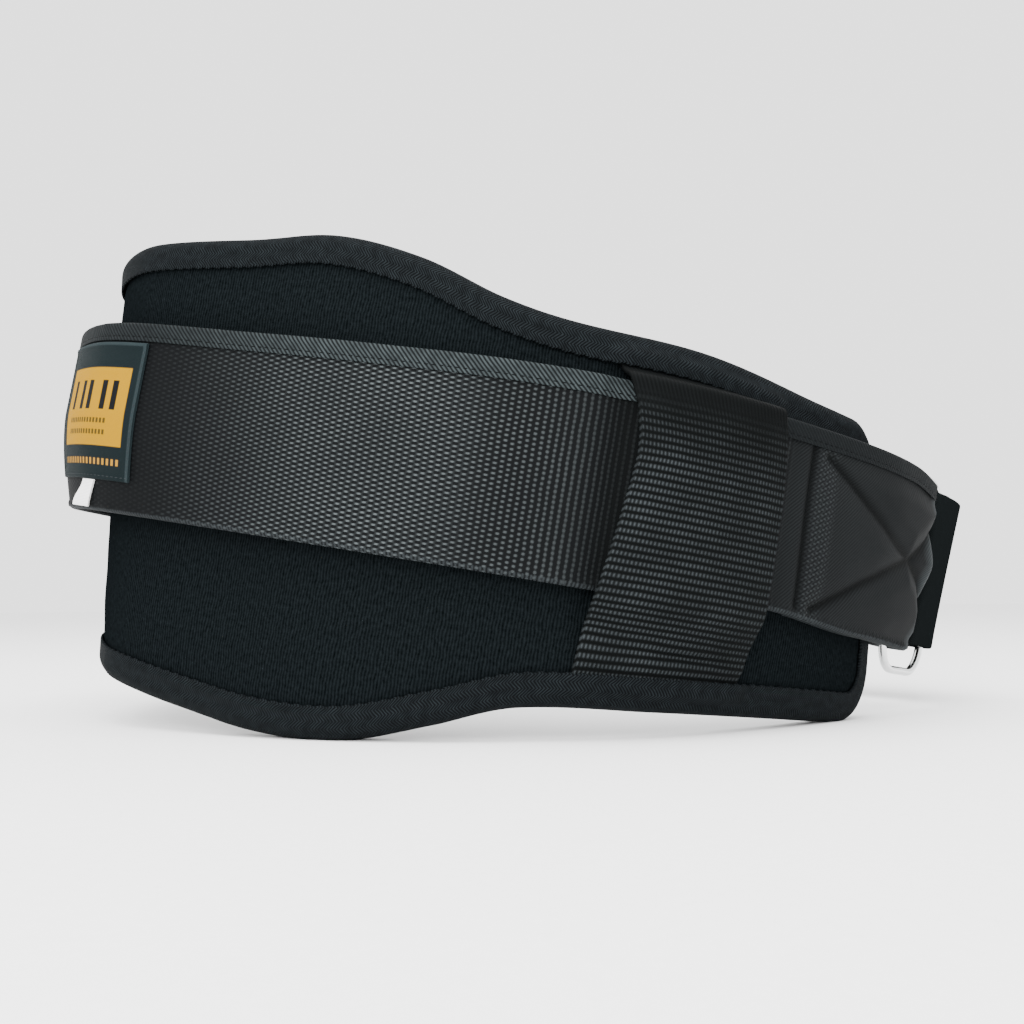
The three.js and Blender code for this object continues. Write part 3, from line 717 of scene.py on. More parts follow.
def woven_label():
    """Woven polyester label: teal-black ground, yellow panel with plain bars, gold dashes.

    Two rows of small dark marks stand under the bars, and the turned edges carry a painted highlight.
    """
    made, tree = new_material("woven_polyester_label")
    _, along, up = cloth_axes(tree)
    height = plain_weave(tree, along, up, LABEL_WEAVE)
    panel = node(tree, "ShaderNodeMath", {
        0: within(tree, along, PANEL_ALONG, 0.4), 1: within(tree, up, PANEL_UP, 0.4)}, operation="MULTIPLY")
    bars = node(tree, "ShaderNodeMath", {0: along, 1: BAR_SPACING}, operation="PINGPONG")
    field = node(tree, "ShaderNodeMath", {
        0: within(tree, up, BARS_UP, 0.3), 1: within(tree, along, BARS_ALONG, 0.3)}, operation="MULTIPLY")
    figure = node(tree, "ShaderNodeMath", {0: within(tree, bars, BAR_SHARE, 0.3), 1: field},
                  operation="MULTIPLY")
    small = node(tree, "ShaderNodeMath", {0: along, 1: MARK_SPACING}, operation="PINGPONG")
    small = node(tree, "ShaderNodeMath", {0: small, 1: 0.4}, operation="GREATER_THAN")
    rows = node(tree, "ShaderNodeMath", {
        0: within(tree, up, MARKS_UP, 0.4), 1: within(tree, up, LOWER_MARKS_UP, 0.4)}, operation="ADD")
    line = node(tree, "ShaderNodeMath", {0: rows, 1: within(tree, along, MARKS_ALONG, 0.3)},
                operation="MULTIPLY")
    marks = node(tree, "ShaderNodeMath", {0: line, 1: small}, operation="MULTIPLY")
    dashes = node(tree, "ShaderNodeMath", {0: along, 1: DASH_SPACING}, operation="PINGPONG")
    row = node(tree, "ShaderNodeMath", {
        0: within(tree, up, GOLD_UP, 0.3), 1: within(tree, along, GOLD_ALONG, 0.3)}, operation="MULTIPLY")
    gold = node(tree, "ShaderNodeMath", {0: row, 1: within(tree, dashes, DASH_SHARE, 0.3)},
                operation="MULTIPLY")
    # Painted highlight on the label's raised top and side edges.
    turned = node(tree, "ShaderNodeMath", {
        0: within(tree, up, TURNED_TOP, 0.5), 1: within(tree, along, TURNED_SIDE, 0.5)}, operation="MAXIMUM")
    printed = layered(tree, "#7e5c00", (height, "#966e00"), (marks, "#3c2f10"), (figure, "#0c0e0f"))
    colour = layered(tree, "#070d0e", (height, "#10191b"), (gold, "#8a6420"), (panel, printed),
                     (turned, "#1d2527"))
    surface(tree, colour, 0.6, height, 0.12, {"Specular IOR Level": 0.03})
    return made


def tag_satin():
    """White satin tape of the size tag, with its fine cross weave."""
    made, tree = new_material("white_satin_tape")
    _, _, up = cloth_axes(tree)
    weave = threads(tree, up, TAG_WEAVE)
    height = node(tree, "ShaderNodeMapRange", {0: weave, 1: -1.0, 2: 1.0})
    colour = layered(tree, "#d8d8d6", (height, "#f6f6f4"))
    surface(tree, colour, 0.45, height, 0.08, {"Specular IOR Level": 0.3})
    return made


def sewing_thread(name, dark, light):
    """Twisted polyester sewing thread, nearly matt."""
    made, tree = new_material(name)
    place = node(tree, "ShaderNodeTexCoord").outputs["Object"]
    twist = node(tree, "ShaderNodeTexNoise", {"Vector": place, "Scale": 2500.0, "Detail": 1.0})
    colour = layered(tree, dark, (twist, light))
    surface(tree, colour, 0.5, twist, 0.05, {"Specular IOR Level": 0.03})
    return made


def floor_paper():
    """Pale matt studio paper."""
    made, tree = new_material("pale_studio_paper")
    place = node(tree, "ShaderNodeTexCoord").outputs["Object"]
    grain = node(tree, "ShaderNodeTexNoise", {"Vector": place, "Scale": 300.0, "Detail": 2.0})
    colour = layered(tree, "#f6f6f6", (grain, "#fcfcfc"))
    surface(tree, colour, 0.95, grain, 0.02, {})
    return made


# Pieces

def keeper_span(s):
    """1 beside the keeper loops, 0 elsewhere, with soft borders."""
    return ease(296, 304, np.abs(s)) * (1 - ease(370, 379, np.abs(s)))


def back_pad(material):
    """Foam pad: swells between the bindings, with soft dimples, and rounds off under them."""
    s = spread(-PAD_HALF_LENGTH, PAD_HALF_LENGTH, 2.6)[:, None]
    t = np.linspace(0, 1, 72)[None, :]
    half = PAD_THICKNESS / 2
    low = pad_bottom(s) + half
    high = pad_top(s) - half
    z = low + (high - low) * t
    edge = np.minimum(z - low, high - z)
    end = PAD_HALF_LENGTH - np.abs(s)
    near = np.minimum(edge, end)
    crown = 0.9 * ease(4, 26, near) * (1 - 0.9 * keeper_span(s)) - 0.7 * (1 - ease(3, 9, near))
    pucker = 0.18 * np.cos(2 * math.pi * s / BINDING_STITCH) * (1 - ease(6, 14, edge)) * ease(2, 5, edge)
    uneven = 0.4 * ripple(s, z, 60, 3) + 0.15 * ripple(s, z, 22, 5)
    relief = crown + pucker + uneven * ease(4, 20, near) * (1 - keeper_span(s))
    uv = np.stack(np.broadcast_arrays(s, z), -1)
    made = woven("foam_back_pad", pad_point(s, z, -half), uv, PAD_THICKNESS, material, relief,
                 inner_relief=relief, round_steps=7)
    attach(made, "root")
    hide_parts("back_pad")


def edge_path(edge, radius, up, step):
    """Even places along half an edge of the pad and on round its end, with the way out of the pad."""
    s = np.concatenate([spread(0, PAD_HALF_LENGTH - radius, 1)[:-1],
                        PAD_HALF_LENGTH - radius * (1 - np.sin(np.linspace(0, math.pi / 2, 60)))])
    turn = np.clip((s - (PAD_HALF_LENGTH - radius)) / radius, 0, 1)
    rows = np.stack([s, edge(s), turn], -1)
    middle = (pad_top(PAD_HALF_LENGTH) + pad_bottom(PAD_HALF_LENGTH)) / 2
    stop = middle + up * CLEARANCE / 2
    rows = np.vstack([rows, [PAD_HALF_LENGTH, stop, 1.0]])
    rows = np.vstack([rows[:0:-1] * [-1, 1, -1], rows])
    arc = arc_along(rows[:, :2])
    at = spread(0, arc[-1], step)
    s, z, turn = (np.interp(at, arc, column) for column in rows.T)
    return s, z, turn, up * np.sqrt(np.maximum(1 - turn ** 2, 0)), at


def binding_section():
    """Middle line of the binding tape round the pad's edge: (reach out of the pad, depth)."""
    wall = PAD_THICKNESS / 2 + BINDING_GAP + BINDING_THICKNESS / 2
    tip = BINDING_GAP + BINDING_THICKNESS / 2
    round_start = -4.5
    turn = np.linspace(math.pi / 2, -math.pi / 2, 19)
    nose = np.stack([round_start + (tip - round_start) * np.cos(turn), wall * np.sin(turn)], -1)
    leg = np.array([(-BINDING_REACH, wall)])
    line = np.vstack([leg, nose, leg * [1, -1]])
    return even_row(line, 0.9)


def pad_binding(name, node_name, edge, radius, up, material):
    """Tape folded round an edge of the pad, drawn in along its stitches."""
    s, z, away_s, away_z, at = edge_path(edge, radius, up, 1.25)
    section = binding_section()
    across = arc_along(section)
    reach = section[:, 0][None, :]
    depth = section[:, 1][None, :]
    hem = np.minimum(across, across[-1] - across)[None, :]
    stitch = np.cos(2 * math.pi * at / BINDING_STITCH)[:, None]
    pull = -0.45 * np.exp(-(hem - BINDING_SEAM) ** 2) * (0.65 + 0.35 * stitch)
    puff = 0.25 * np.exp(-((hem - 6) / 3) ** 2) - 0.1 * stitch * np.exp(-(hem / 2) ** 2)
    relief = pull + puff + 0.15 * ripple(at[:, None], across[None, :], 25, 11)
    scallop = 0.3 * stitch * np.exp(-(hem / 1.5) ** 2)
    place = s[:, None] + away_s[:, None] * (reach + scallop)
    height = z[:, None] + away_z[:, None] * (reach + scallop)
    lift = KEEPER_LIFT * keeper_span(place) * (1 - ease(3.5, 8.5, across[None, :]))
    middle = pad_point(place, height, depth + lift - PAD_THICKNESS / 2)
    middle[..., 2] = np.maximum(middle[..., 2], (BINDING_THICKNESS / 2 + 0.05) * MM)
    relief = relief * ease(0.5, 2.5, middle[..., 2] / MM)
    uv = np.stack(np.broadcast_arrays(at[:, None], across[None, :]), -1)
    if up > 0:
        middle = middle[::-1]
        uv = uv[::-1]
        relief = relief[::-1]
    made = woven(name, middle, uv, BINDING_THICKNESS, material, relief)
    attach(made, "root")
    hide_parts(node_name)


def fold_shift(s, z):
    """The strap's end is folded aslant, its top further round, and the fold swells at mid-height."""
    swell = 4 * np.maximum(1 - ((z + 1.5) / 36) ** 2, 0)
    return (0.16 * (z + 20) + swell) * ease(FOLD_AT - 42, FOLD_AT - 6, s)


def from_lines(s, z, lines):
    """Distance of each place from the nearest of some lines of (s, z)."""
    nearest = np.full(np.broadcast(s, z).shape, 99.0)
    for line in lines:
        for (s0, z0), (s1, z1) in zip(line, line[1:]):
            run = (s1 - s0) ** 2 + (z1 - z0) ** 2
            t = np.clip(((s - s0) * (s1 - s0) + (z - z0) * (z1 - z0)) / run, 0, 1)
            nearest = np.minimum(nearest, np.hypot(s - s0 - t * (s1 - s0), z - z0 - t * (z1 - z0)))
    return nearest


def box_pillow(s, z):
    """Cloth puffed up between the stitches that hold the folded strap's end."""
    seam = from_lines(s, z, BOX_LINES)
    frame = np.minimum(strap_top(s) - TAPE_REACH - z, z + STRAP_WIDTH / 2 - 3)
    near = np.minimum(seam, np.maximum(frame, 0))
    full = 0.9 + 2.3 * ease(425, 468, s)
    inside = ease(384, 389, s)
    groove = 1.1 * np.exp(-(seam / SEAM_WIDTH) ** 2)
    return inside * full * ease(0, 11, near) - groove * ease(380, 386, s)


def strap_bottom(s):
    """The strap's lower edge, drawn up beside the ring side's keeper loop and down at the fold."""
    return -STRAP_WIDTH / 2 + 4 * ease(330, 372, s) * (1 - ease(374, 430, s)) - 1.5 * ease(425, 485, s)


def sag(s, z):
    """How far outward the strap lies: in at its foot at the back, and in beside a keeper loop."""
    low = np.clip((2 - z) / 40, 0, 1)
    beside = np.exp(-((np.abs(s) - 304) / 7) ** 2)
    return (2.2 - 8.4 * low ** 1.5) * (1 - ease(80, 185, np.abs(s))) - 2.2 * beside


def strap_face(s, z):
    """Relief of the strap's outer face: pillows, selvage, hem line and the dips at a keeper loop."""
    up = z - strap_bottom(s) - STRAP_THICKNESS / 2
    rim = 0.45 * (1 - ease(1.6, 2.8, up)) * (1 + 0.5 * np.cos(2 * math.pi * s / 2.9))
    line = 0.3 * np.exp(-((up - 4.4) / 0.6) ** 2) * ease(372, 380, np.abs(s))
    beside = 0.6 * np.exp(-((np.abs(s) - 378) / 4) ** 2)
    return box_pillow(s, z) + rim - line - 0.9 * beside + 0.18 * ripple(s, z, 45, 21)


def waist_strap(material):
    """Main strap: round the back to the ring, folded there and led back inside."""
    layer = -STRAP_THICKNESS / 2
    radius = RING_DEPTH + layer
    fold = FOLD_AT - radius - STRAP_THICKNESS / 2
    places = np.concatenate([spread(-STRAP_FAR_END, 372, 2.4)[:-1], spread(372, fold, 1.1)])
    outer = np.stack([places, np.full(len(places), layer)], -1)
    turn = np.linspace(0, math.pi, 19)[1:]
    bow = np.stack([fold + radius * np.sin(turn), -RING_DEPTH + radius * np.cos(turn)], -1)
    inside = 3 * layer - CLEARANCE
    back = smooth_row([(fold, -RING_DEPTH - radius), (RING_START - 1, -RING_DEPTH - radius + 0.2),
                       (RING_START - FOLD_STEP, inside), (FOLD_AT - 60, inside),
                       (FOLD_AT - FOLD_RETURN, inside)], 2.4)[1:]
    row = np.vstack([outer, bow, back])
    arc = row[:, :1]
    along = (arc_along(row) - STRAP_FAR_END)[:, None]
    folded = ease(len(outer), len(outer) + len(bow), np.arange(len(row)))
    lower_top = strap_top(FOLD_AT) - TAPE_REACH - CLEARANCE
    high = strap_top(row[:, 0]) * (1 - folded) + lower_top * folded
    t = np.linspace(0, 1, 58)[None, :]
    bottom = strap_bottom(arc) + STRAP_THICKNESS / 2
    z = bottom + (high[:, None] - STRAP_THICKNESS / 2 - bottom) * t
    s = arc + fold_shift(arc, z) * (1 - ease(14, 60, along - FOLD_AT))
    face = 1 - ease(len(outer), len(outer) + 9, np.arange(len(row)))[:, None]
    middle = bend(s, z, row[:, 1:] + sag(s, z))
    uv = np.stack(np.broadcast_arrays(along, z - strap_bottom(arc) - STRAP_WIDTH / 2), -1)
    # Painted shade: darker in the sewn grooves of the folded end and in the dip beside a keeper loop.
    seam = np.exp(-(from_lines(arc, z, BOX_LINES) / SEAM_WIDTH) ** 2) * ease(380, 386, arc)
    under = np.exp(-((np.abs(arc) - 308) / 7) ** 2)
    made = woven("waist_strap_webbing", middle, uv, STRAP_THICKNESS, material, strap_face(arc, z) * face,
                 painted_shade=np.maximum(0.85 * seam, 0.75 * under) * face)
    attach(made, "root")
    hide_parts("waist_strap")


def strap_tape(material):
    """Tape folded over the strap's top edge, with a groove where it is sewn."""
    s = spread(-STRAP_FAR_END, FOLD_AT - TAPE_STOP, 1.5)[:, None]
    lift = CLEARANCE + TAPE_THICKNESS / 2
    inner = -STRAP_THICKNESS - lift
    corner = 1.2
    turn = np.linspace(0, math.pi / 2, 6)
    section = np.vstack([
        np.array([(-TAPE_REACH, lift)]),
        np.stack([lift - corner + corner * np.sin(turn), lift - corner + corner * np.cos(turn)], -1),
        np.stack([lift - corner + corner * np.cos(turn), inner + corner - corner * np.sin(turn)], -1),
        np.array([(-TAPE_REACH, inner)]),
    ])
    section = even_row(section, 0.5)
    across = arc_along(section)
    hem = np.minimum(across, across[-1] - across)[None, :]
    z = strap_top(s) + section[:, 0][None, :]
    out = section[:, 1][None, :] + sag(s, z)
    stitch = np.cos(2 * math.pi * s / STRAP_STITCH)
    relief = -0.2 * np.exp(-((hem - TAPE_SEAM) / 0.7) ** 2) * (0.7 + 0.3 * stitch)
    relief = relief + 0.05 * ripple(s, z, 12, 31)
    middle = bend(s + fold_shift(s, z), z, out)
    uv = np.stack(np.broadcast_arrays(s, across[None, :]), -1)
    made = woven("strap_edge_tape", middle, uv, TAPE_THICKNESS, material, relief)
    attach(made, "root")
    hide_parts("strap_binding")


def keeper_row():
    """Middle line of a keeper loop at its centre, from the upper binding down to the lower: (z, out)."""
    face = -(STRAP_THICKNESS + PAD_GAP) + CLEARANCE + KEEPER_THICKNESS / 2
    over = 2 * CLEARANCE + TAPE_THICKNESS + KEEPER_THICKNESS / 2
    top = STRAP_WIDTH / 2
    return smooth_row([
        (top + 10, face), (top + 6, face + 1), (top + 3.6, over - 4.6), (top + 1.8, over + 0.1),
        (top - 3, over + 0.7), (top - 12, over + 1.1), (0, over + 1.5), (-top + 8, over + 0.9),
        (-top, over + 0.1), (-top - 5, over - 2.4), (-top - 13, over - 6.4), (-top - 20, face + 1.3),
        (-top - 25, face + 0.2), (-top - 29, face),
    ], 0.7)


def keeper_loop(name, node_name, side, material):
    """Band bowed out over the strap, its ends tucked under the pad's bindings."""
    row = keeper_row()
    t = np.linspace(0, 1, 60)[None, :]
    along = arc_along(row)[:, None]
    half = KEEPER_THICKNESS / 2
    centre = row[:, :1]
    back = np.interp(centre, KEEPER_SIDES[:, 0], KEEPER_SIDES[:, 1])
    front = np.interp(centre, KEEPER_SIDES[:, 0], KEEPER_SIDES[:, 2])
    s = back + half + (front - back - 2 * half) * t
    top = STRAP_WIDTH / 2
    upper = top + 3.6
    lower = -top - 13
    high = pad_top(s) - BINDING_REACH + KEEPER_TUCK
    low = pad_bottom(s) + BINDING_REACH - KEEPER_TUCK
    above = upper + (centre - upper) * (high - upper) / (row[0, 0] - upper)
    below = lower + (centre - lower) * (low - lower) / (row[-1, 0] - lower)
    z = np.where(centre > upper, above, np.where(centre < lower, below, centre))
    across = (t - 0.5) * 66
    free = ease(0, 14, along) * ease(0, 20, along[-1] - along)
    dimple = -1.8 * np.exp(-((z + 56.5) / 2.6) ** 2) * np.exp(-((across - 6) / 17) ** 2)
    edge = np.abs(across)
    rolled = -0.5 * ease(24, 33, edge) * ease(0, 30, along) * ease(0, 30, along[-1] - along)
    out = row[:, 1:] + (0.3 * ripple(across, along, 30, 41) + rolled) * free + dimple
    relief = 0.22 * ease(30.4, 31.4, edge) * (1 + 0.4 * np.cos(2 * math.pi * along / 2.3))
    middle = bend(side * s, z, out)
    uv = np.stack(np.broadcast_arrays(across, along), -1)
    if side < 0:
        middle = middle[:, ::-1]
        uv = uv[:, ::-1]
        relief = relief[:, ::-1]
    made = woven(name, middle[::-1], uv[::-1], KEEPER_THICKNESS, material, relief[::-1])
    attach(made, "root")
    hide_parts(node_name)


def buckle_ring(material):
    """Steel ring: round bar bent to a tall rounded rectangle."""
    half = RING_WIDTH / 2 - RING_BAR / 2
    tall = RING_HEIGHT / 2 - RING_BAR / 2
    radius = RING_CORNER - RING_BAR / 2
    path = []
    for turn, (x, z) in enumerate([(1, 1), (-1, 1), (-1, -1), (1, -1)]):
        angle = np.linspace(0, math.pi / 2, 13) + turn * math.pi / 2
        path.append(np.stack([x * (half - radius) + radius * np.cos(angle),
                              z * (tall - radius) + radius * np.sin(angle)], -1))
    path = np.vstack(path)
    run = unit(np.roll(path, -1, 0) - np.roll(path, 1, 0))
    angle = np.linspace(0, 2 * math.pi, 20, endpoint=False)[None, :]
    reach = np.cos(angle) * RING_BAR / 2
    x = path[:, :1] + run[:, 1:] * reach
    z = path[:, 1:] - run[:, :1] * reach - RING_DROP
    start = bend(RING_START, 0, -RING_DEPTH)
    end = bend(RING_END, 0, RING_SWING - RING_DEPTH)
    along = unit(end - start)
    up = np.array([0, -math.sin(TILT), math.cos(TILT)])
    away = unit(np.cross(along, up))
    centre = (start + end) / 2
    depth = np.sin(angle)[..., None] * RING_BAR / 2
    points = centre + (x[..., None] * along + z[..., None] * up + depth * away) * MM
    rows, size = points.shape[:2]
    place = np.arange(rows)[:, None]
    step = np.arange(size)[None, :]
    here = place * size
    following = (place + 1) % rows * size
    beside = (step + 1) % size
    faces = np.stack([here + step, here + beside, following + beside, following + step], -1)
    faces = faces.reshape(-1, 4).tolist()
    corner_uv = np.stack(np.broadcast_arrays(
        np.stack([place, place, place + 1, place + 1], -1),
        np.stack([step, step + 1, step + 1, step], -1)), -1).reshape(-1, 2)
    made = make_mesh("chromed_buckle_ring", points.reshape(-1, 3).tolist(), faces, corner_uv, material)
    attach(made, "root")
    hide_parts("buckle_ring")


def closing_strap(material):
    """Closing strap: sewn inside the far end, led through the ring and doubled back."""
    half = CLOSING_THICKNESS / 2
    inside = -STRAP_THICKNESS - 2 * CLEARANCE - TAPE_THICKNESS - half
    outside = 2 * CLEARANCE + TAPE_THICKNESS + half
    radius = RING_BAR / 2 + 2 * CLEARANCE + half
    fold = FOLD_AT + 4 * CLEARANCE + radius + half
    bar = RING_END - RING_BAR / 2
    bar_depth, fold_depth = (RING_DEPTH - RING_SWING * (s - RING_START) / RING_WIDTH for s in (bar, fold))
    far = LOOP_LENGTH - STRAP_FAR_END
    free = far - bar
    inner = smooth_row([
        (far + CLOSING_LAP, inside), (far + CLOSING_LAP / 6, inside - 2 * CLEARANCE),
        (bar + 0.7 * free, inside - CLOSING_THICKNESS), (bar + 0.3 * free, -bar_depth - radius - half),
        (bar, -bar_depth - radius - 2 * CLEARANCE), (fold, -fold_depth - radius),
    ], 2)
    turn = np.linspace(0, math.pi, 15)[1:-1]
    bow = np.stack([fold - radius * np.sin(turn), -fold_depth - radius * np.cos(turn)], -1)
    outer = smooth_row([
        (fold, -fold_depth + radius), (bar, -bar_depth + radius + 2 * CLEARANCE),
        *[(bar + share * free, CLOSING_BULGE * bulge) for share, bulge in BULGE_TABLE],
        (far, outside + half), (far + CLOSING_LAP / 4, outside), (far + TAIL_LAP, outside),
    ], 1.6)
    row = np.vstack([inner, bow, outer])
    along = arc_along(row)[:, None]
    z = np.linspace(-CLOSING_WIDTH / 2 - 1 + half, CLOSING_WIDTH / 2 - 1 - half, 40)[None, :]
    s = row[:, :1] + fold_shift(FOLD_AT, z) * (1 - ease(fold - 4, fold + 18, row[:, :1]))
    on_top = (np.arange(len(row)) > len(inner))[:, None]
    passed = np.sin(math.pi * np.clip((row[:, :1] - bar) / free, 0, 1)) * on_top
    middle = bend(s, z, row[:, 1:] + CLOSING_LEAN * z * passed)
    uv = np.stack(np.broadcast_arrays(along, z), -1)
    rim = 0.25 * ease(31.5, 33, np.abs(z + 1))
    made = woven("closing_strap_nylon", middle[::-1], uv[::-1], CLOSING_THICKNESS, material, rim)
    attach(made, "root")
    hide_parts("closing_strap")


def back_label(material):
    """Woven label: folded top, raised selvage and a slight lift at its free corners."""
    half = LABEL_THICKNESS / 2
    s = spread(LABEL_LEFT + half, LABEL_RIGHT - half, 1)[:, None]
    z = spread(LABEL_TOP - LABEL_HEIGHT + half, LABEL_TOP - half, 1)[None, :]
    top = LABEL_TOP - z
    end = np.minimum(s - LABEL_LEFT, LABEL_RIGHT - s)
    relief = 0.25 * (1 - ease(1.5, 3.0, top)) + 0.2 * (1 - ease(0.8, 2.2, end)) + 0.1 * ripple(s, z, 25, 51)
    middle = bend(s, z, CLEARANCE + half + sag(s, z))
    uv = np.stack(np.broadcast_arrays(s, z), -1)
    made = woven("woven_back_label", middle, uv, LABEL_THICKNESS, material, relief)
    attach(made, "root")
    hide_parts("back_label")


def size_tag(material):
    """Bare white tag under the label, bent a little off the strap at its free edge."""
    high = LABEL_TOP - LABEL_HEIGHT - 0.5
    half = TAG_THICKNESS / 2
    s = spread(TAG_LEFT + half, TAG_LEFT + TAG_WIDTH - half, 0.8)[:, None]
    z = spread(high - TAG_HEIGHT, high, 0.8)[None, :]
    lift = ease(0, TAG_HEIGHT, high - z) * (0.6 + 0.3 * (TAG_LEFT + TAG_WIDTH - s))
    middle = bend(s - TAG_SLANT * (high - z), z, CLEARANCE + half + lift + sag(s, z))
    uv = np.stack(np.broadcast_arrays(s, z), -1)
    made = woven("white_size_tag", middle, uv, TAG_THICKNESS, material)
    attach(made, "root")
    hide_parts("size_tag")


# Stitches

def stitch_tree(name, material):
    """Geometry nodes that lay stitches along sewn lines: pitch, length and thread width in metres."""
    tree = bpy.data.node_groups.new(name, "GeometryNodeTree")
    tree.interface.new_socket("Geometry", in_out="INPUT", socket_type="NodeSocketGeometry")
    for label in ("Pitch", "Length", "Thread"):
        tree.interface.new_socket(label, in_out="INPUT", socket_type="NodeSocketFloat")
    tree.interface.new_socket("Geometry", in_out="OUTPUT", socket_type="NodeSocketGeometry")
    given = node(tree, "NodeGroupInput")
    line = node(tree, "GeometryNodeMeshToCurve", {0: given.outputs["Geometry"]})
    even = node(tree, "GeometryNodeResampleCurve", {"Curve": line, "Length": given.outputs["Pitch"]},
                mode="LENGTH")
    bead = node(tree, "GeometryNodeMeshUVSphere", {"Segments": 6, "Rings": 4, "Radius": 0.5})
    size = node(tree, "ShaderNodeCombineXYZ", {0: given.outputs["Length"], 1: given.outputs["Thread"],
                                               2: given.outputs["Thread"]})
    shaped = node(tree, "GeometryNodeTransform", {"Geometry": bead.outputs["Mesh"], "Scale": size})
    heading = node(tree, "GeometryNodeInputTangent")
    out = node(tree, "GeometryNodeInputNamedAttribute", {"Name": "out"}, data_type="FLOAT_VECTOR")
    along = node(tree, "FunctionNodeAlignRotationToVector", {"Vector": heading}, axis="X")
    turned = node(tree, "FunctionNodeAlignRotationToVector",
                  {"Rotation": along, "Vector": out.outputs["Attribute"]}, axis="Z", pivot_axis="X")
    laid = node(tree, "GeometryNodeInstanceOnPoints",
                {"Points": even, "Instance": shaped, "Rotation": turned})
    real = node(tree, "GeometryNodeRealizeInstances", {0: laid})
    done = node(tree, "GeometryNodeSetMaterial", {"Geometry": real, "Material": material})
    node(tree, "NodeGroupOutput", {0: done})
    return tree


def stitches(name, lines, material, pitch, length, thread):
    """Stitches along lines: each is (points in metres, outward direction at each point)."""
    points = np.vstack([line[0] for line in lines])
    outward = np.vstack([line[1] for line in lines])
    edges = []
    start = 0
    for line in lines:
        count = len(line[0])
        edges += [(start + i, start + i + 1) for i in range(count - 1)]
        start += count
    mesh = bpy.data.meshes.new(name + "_lines")
    mesh.from_pydata(points.tolist(), edges, [])
    out = mesh.attributes.new("out", "FLOAT_VECTOR", "POINT")
    out.data.foreach_set("vector", outward.astype(np.float32).ravel())
    guide = placed(name + "_lines", mesh)
    tree = stitch_tree(name + "_tree", material)
    modifier = guide.modifiers.new("stitches", "NODES")
    modifier.node_group = tree
    sizes = {"Pitch": pitch * MM, "Length": length * MM, "Thread": thread * MM}
    for item in tree.interface.items_tree:
        if item.name in sizes:
            modifier[item.identifier] = sizes[item.name]
    bpy.context.view_layer.update()
    finished = guide.evaluated_get(bpy.context.evaluated_depsgraph_get())
    made = placed(name, bpy.data.meshes.new_from_object(finished))
    bpy.data.objects.remove(guide)
    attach(made, "root")


def face_line(s, z, out):
    """A sewn line on the strap's bent face: its points and the way out of the face."""
    s, z, out = np.broadcast_arrays(np.asarray(s, float), z, out)
    here = bend(s, z, out)
    return here, unit(bend(s, z, out + 1) - here)


def binding_stitches(material):
    """Lock stitches just inside both hems of both bindings."""
    lines = []
    wall = PAD_THICKNESS / 2 + BINDING_GAP + BINDING_THICKNESS
    for edge, radius, up in ((pad_top, PAD_TOP_CORNER, 1), (pad_bottom, PAD_BOTTOM_CORNER, -1)):
        s, z, away_s, away_z, _ = edge_path(edge, radius, up, 2)
        reach = BINDING_SEAM - BINDING_REACH
        place = s + away_s * reach
        height = z + away_z * reach
        for side in (1, -1):
            lift = KEEPER_LIFT * keeper_span(place) * (side > 0)
            points = pad_point(place, height, side * (wall - 0.35) + lift - PAD_THICKNESS / 2)
            out = unit(pad_point(place, height, side) - pad_point(place, height, 0))
            keep = points[:, 2] > 0.001
            lines.append((points[keep], out[keep]))
    stitches("binding_stitches", lines, material, BINDING_STITCH, length=3.2, thread=0.7)


def tape_stitches(material):
    """Stitches that hold the strap's edge tape, outside and inside."""
    s = spread(-STRAP_FAR_END, FOLD_AT - TAPE_STOP, 2)
    z = strap_top(s) - TAPE_REACH + TAPE_SEAM
    shifted = s + fold_shift(s, z)
    lift = CLEARANCE + TAPE_THICKNESS - 0.15
    lines = [face_line(shifted, z, lift + sag(s, z))]
    points, out = face_line(shifted, z, sag(s, z) - STRAP_THICKNESS - lift)
    lines.append((points, -out))
    stitches("tape_stitches", lines, material, STRAP_STITCH, length=2.0, thread=0.45)


def box_stitches(material):
    """Box and cross of stitches through the strap's folded end."""
    lines = []
    for places in BOX_LINES:
        s, z = smooth_row(places, 1.5).T
        lines.append(face_line(s + fold_shift(s, z), z, box_pillow(s, z) - 0.1))
    stitches("box_stitches", lines, material, STRAP_STITCH, length=2.0, thread=0.55)


def label_stitches(material):
    """Stitches round the label."""
    inset = 1.5
    left = LABEL_LEFT + inset
    right = LABEL_RIGHT - inset
    high = LABEL_TOP - inset
    low = LABEL_TOP - LABEL_HEIGHT + inset
    corners = [(left, high), (right, high), (right, low), (left, low)]
    lines = []
    for (s0, z0), (s1, z1) in zip(corners, corners[1:] + corners[:1]):
        t = np.linspace(0, 1, 30)
        s = s0 + (s1 - s0) * t
        z = z0 + (z1 - z0) * t
        lines.append(face_line(s, z, CLEARANCE + LABEL_THICKNESS + 0.1 + sag(s, z)))
    stitches("label_stitches", lines, material, pitch=2.6, length=1.8, thread=0.35)


# Stage

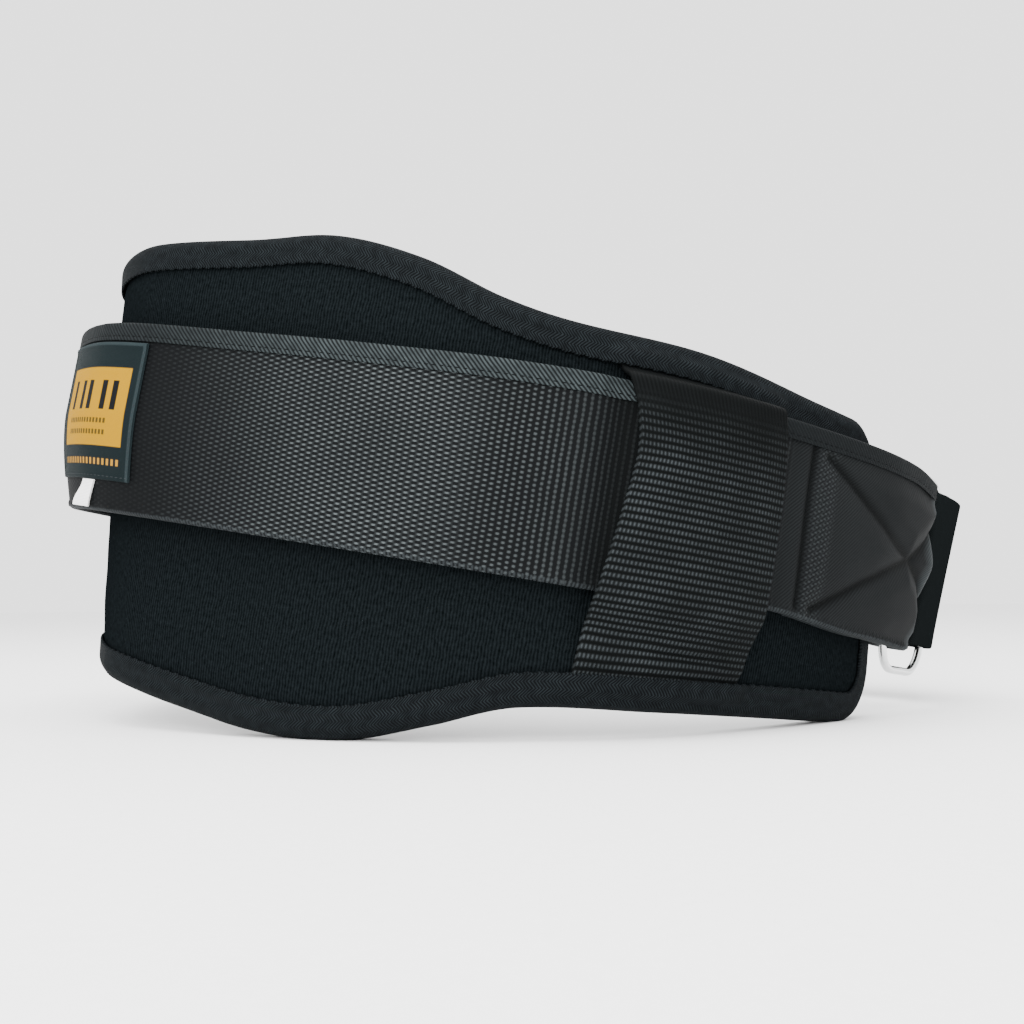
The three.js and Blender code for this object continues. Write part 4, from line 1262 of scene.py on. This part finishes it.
def studio():
    """Pale floor, white surround and soft light."""
    mesh = bpy.data.meshes.new("floor")
    mesh.from_pydata([(-6, -6, 0), (6, -6, 0), (6, 6, 0), (-6, 6, 0)], [], [(0, 1, 2, 3)])
    mesh.materials.append(floor_paper())
    floor = placed("floor", mesh)
    world = bpy.data.worlds.new("white_surround")
    world.use_nodes = True
    surround = world.node_tree.nodes["Background"]
    surround.inputs["Color"].default_value = srgb("#ffffff")
    surround.inputs["Strength"].default_value = 2.35
    bpy.context.scene.world = world
    for name, place, size, power in (
        ("overhead_softbox", (-0.5, 0.2, 1.5), 1.2, 45),
        ("camera_side_softbox", (-1.4, 0.5, 0.7), 0.9, 30),
    ):
        light = bpy.data.lights.new(name, "AREA")
        light.shape = "SQUARE"
        light.size = size
        light.energy = power
        lamp = placed(name, light)
        aim = Vector((0, 0, 0.1)) - Vector(place)
        turn = aim.to_track_quat("-Z", "Y").to_matrix().to_4x4()
        lamp.matrix_world = Matrix.Translation(place) @ turn


def photo_camera():
    """The photograph's view: from the side, a little below the strap, turned slightly."""
    pitch = math.radians(CAMERA_PITCH)
    roll = math.radians(CAMERA_ROLL)
    level = Vector((0, -1, 0))
    forward = Vector((math.cos(pitch), 0, math.sin(pitch)))
    above = Vector((-math.sin(pitch), 0, math.cos(pitch)))
    right = level * math.cos(roll) + above * math.sin(roll)
    top = above * math.cos(roll) - level * math.sin(roll)
    stand = Matrix.Rotation(TILT, 4, "X")
    belt = Matrix.Translation(Vector((0, FORWARD, LIFT)) * MM) @ stand
    place = belt @ Vector((*CAMERA_PLACE, 1 / MM)) * MM
    turn = Matrix((right, top, -forward)).transposed().to_4x4()
    camera = placed("photo_camera", bpy.data.cameras.new("photo_camera"))
    camera.data.sensor_width = 36
    camera.data.lens = CAMERA_LENS
    camera.matrix_world = Matrix.Translation(place.to_3d()) @ stand @ turn
    bpy.context.scene.camera = camera


photo_camera()
studio()
webbing = strap_webbing()
ribbed = keeper_webbing()
tape = binding_tape()
dark_thread = sewing_thread("black_sewing_thread", "#030404", "#0c0e0f")
grey_thread = sewing_thread("grey_sewing_thread", "#15181a", "#34383a")
back_pad(pad_cover())
pad_binding("upper_pad_binding", "pad_binding_upper", pad_top, PAD_TOP_CORNER, 1, tape)
pad_binding("lower_pad_binding", "pad_binding_lower", pad_bottom, PAD_BOTTOM_CORNER, -1, tape)
waist_strap(webbing)
strap_tape(edge_tape())
keeper_loop("left_keeper_webbing", "keeper_loop_left", 1, ribbed)
keeper_loop("right_keeper_webbing", "keeper_loop_right", -1, ribbed)
buckle_ring(polished_steel())
closing_strap(hook_strap())
back_label(woven_label())
size_tag(tag_satin())
binding_stitches(dark_thread)
tape_stitches(dark_thread)
box_stitches(dark_thread)
label_stitches(grey_thread)
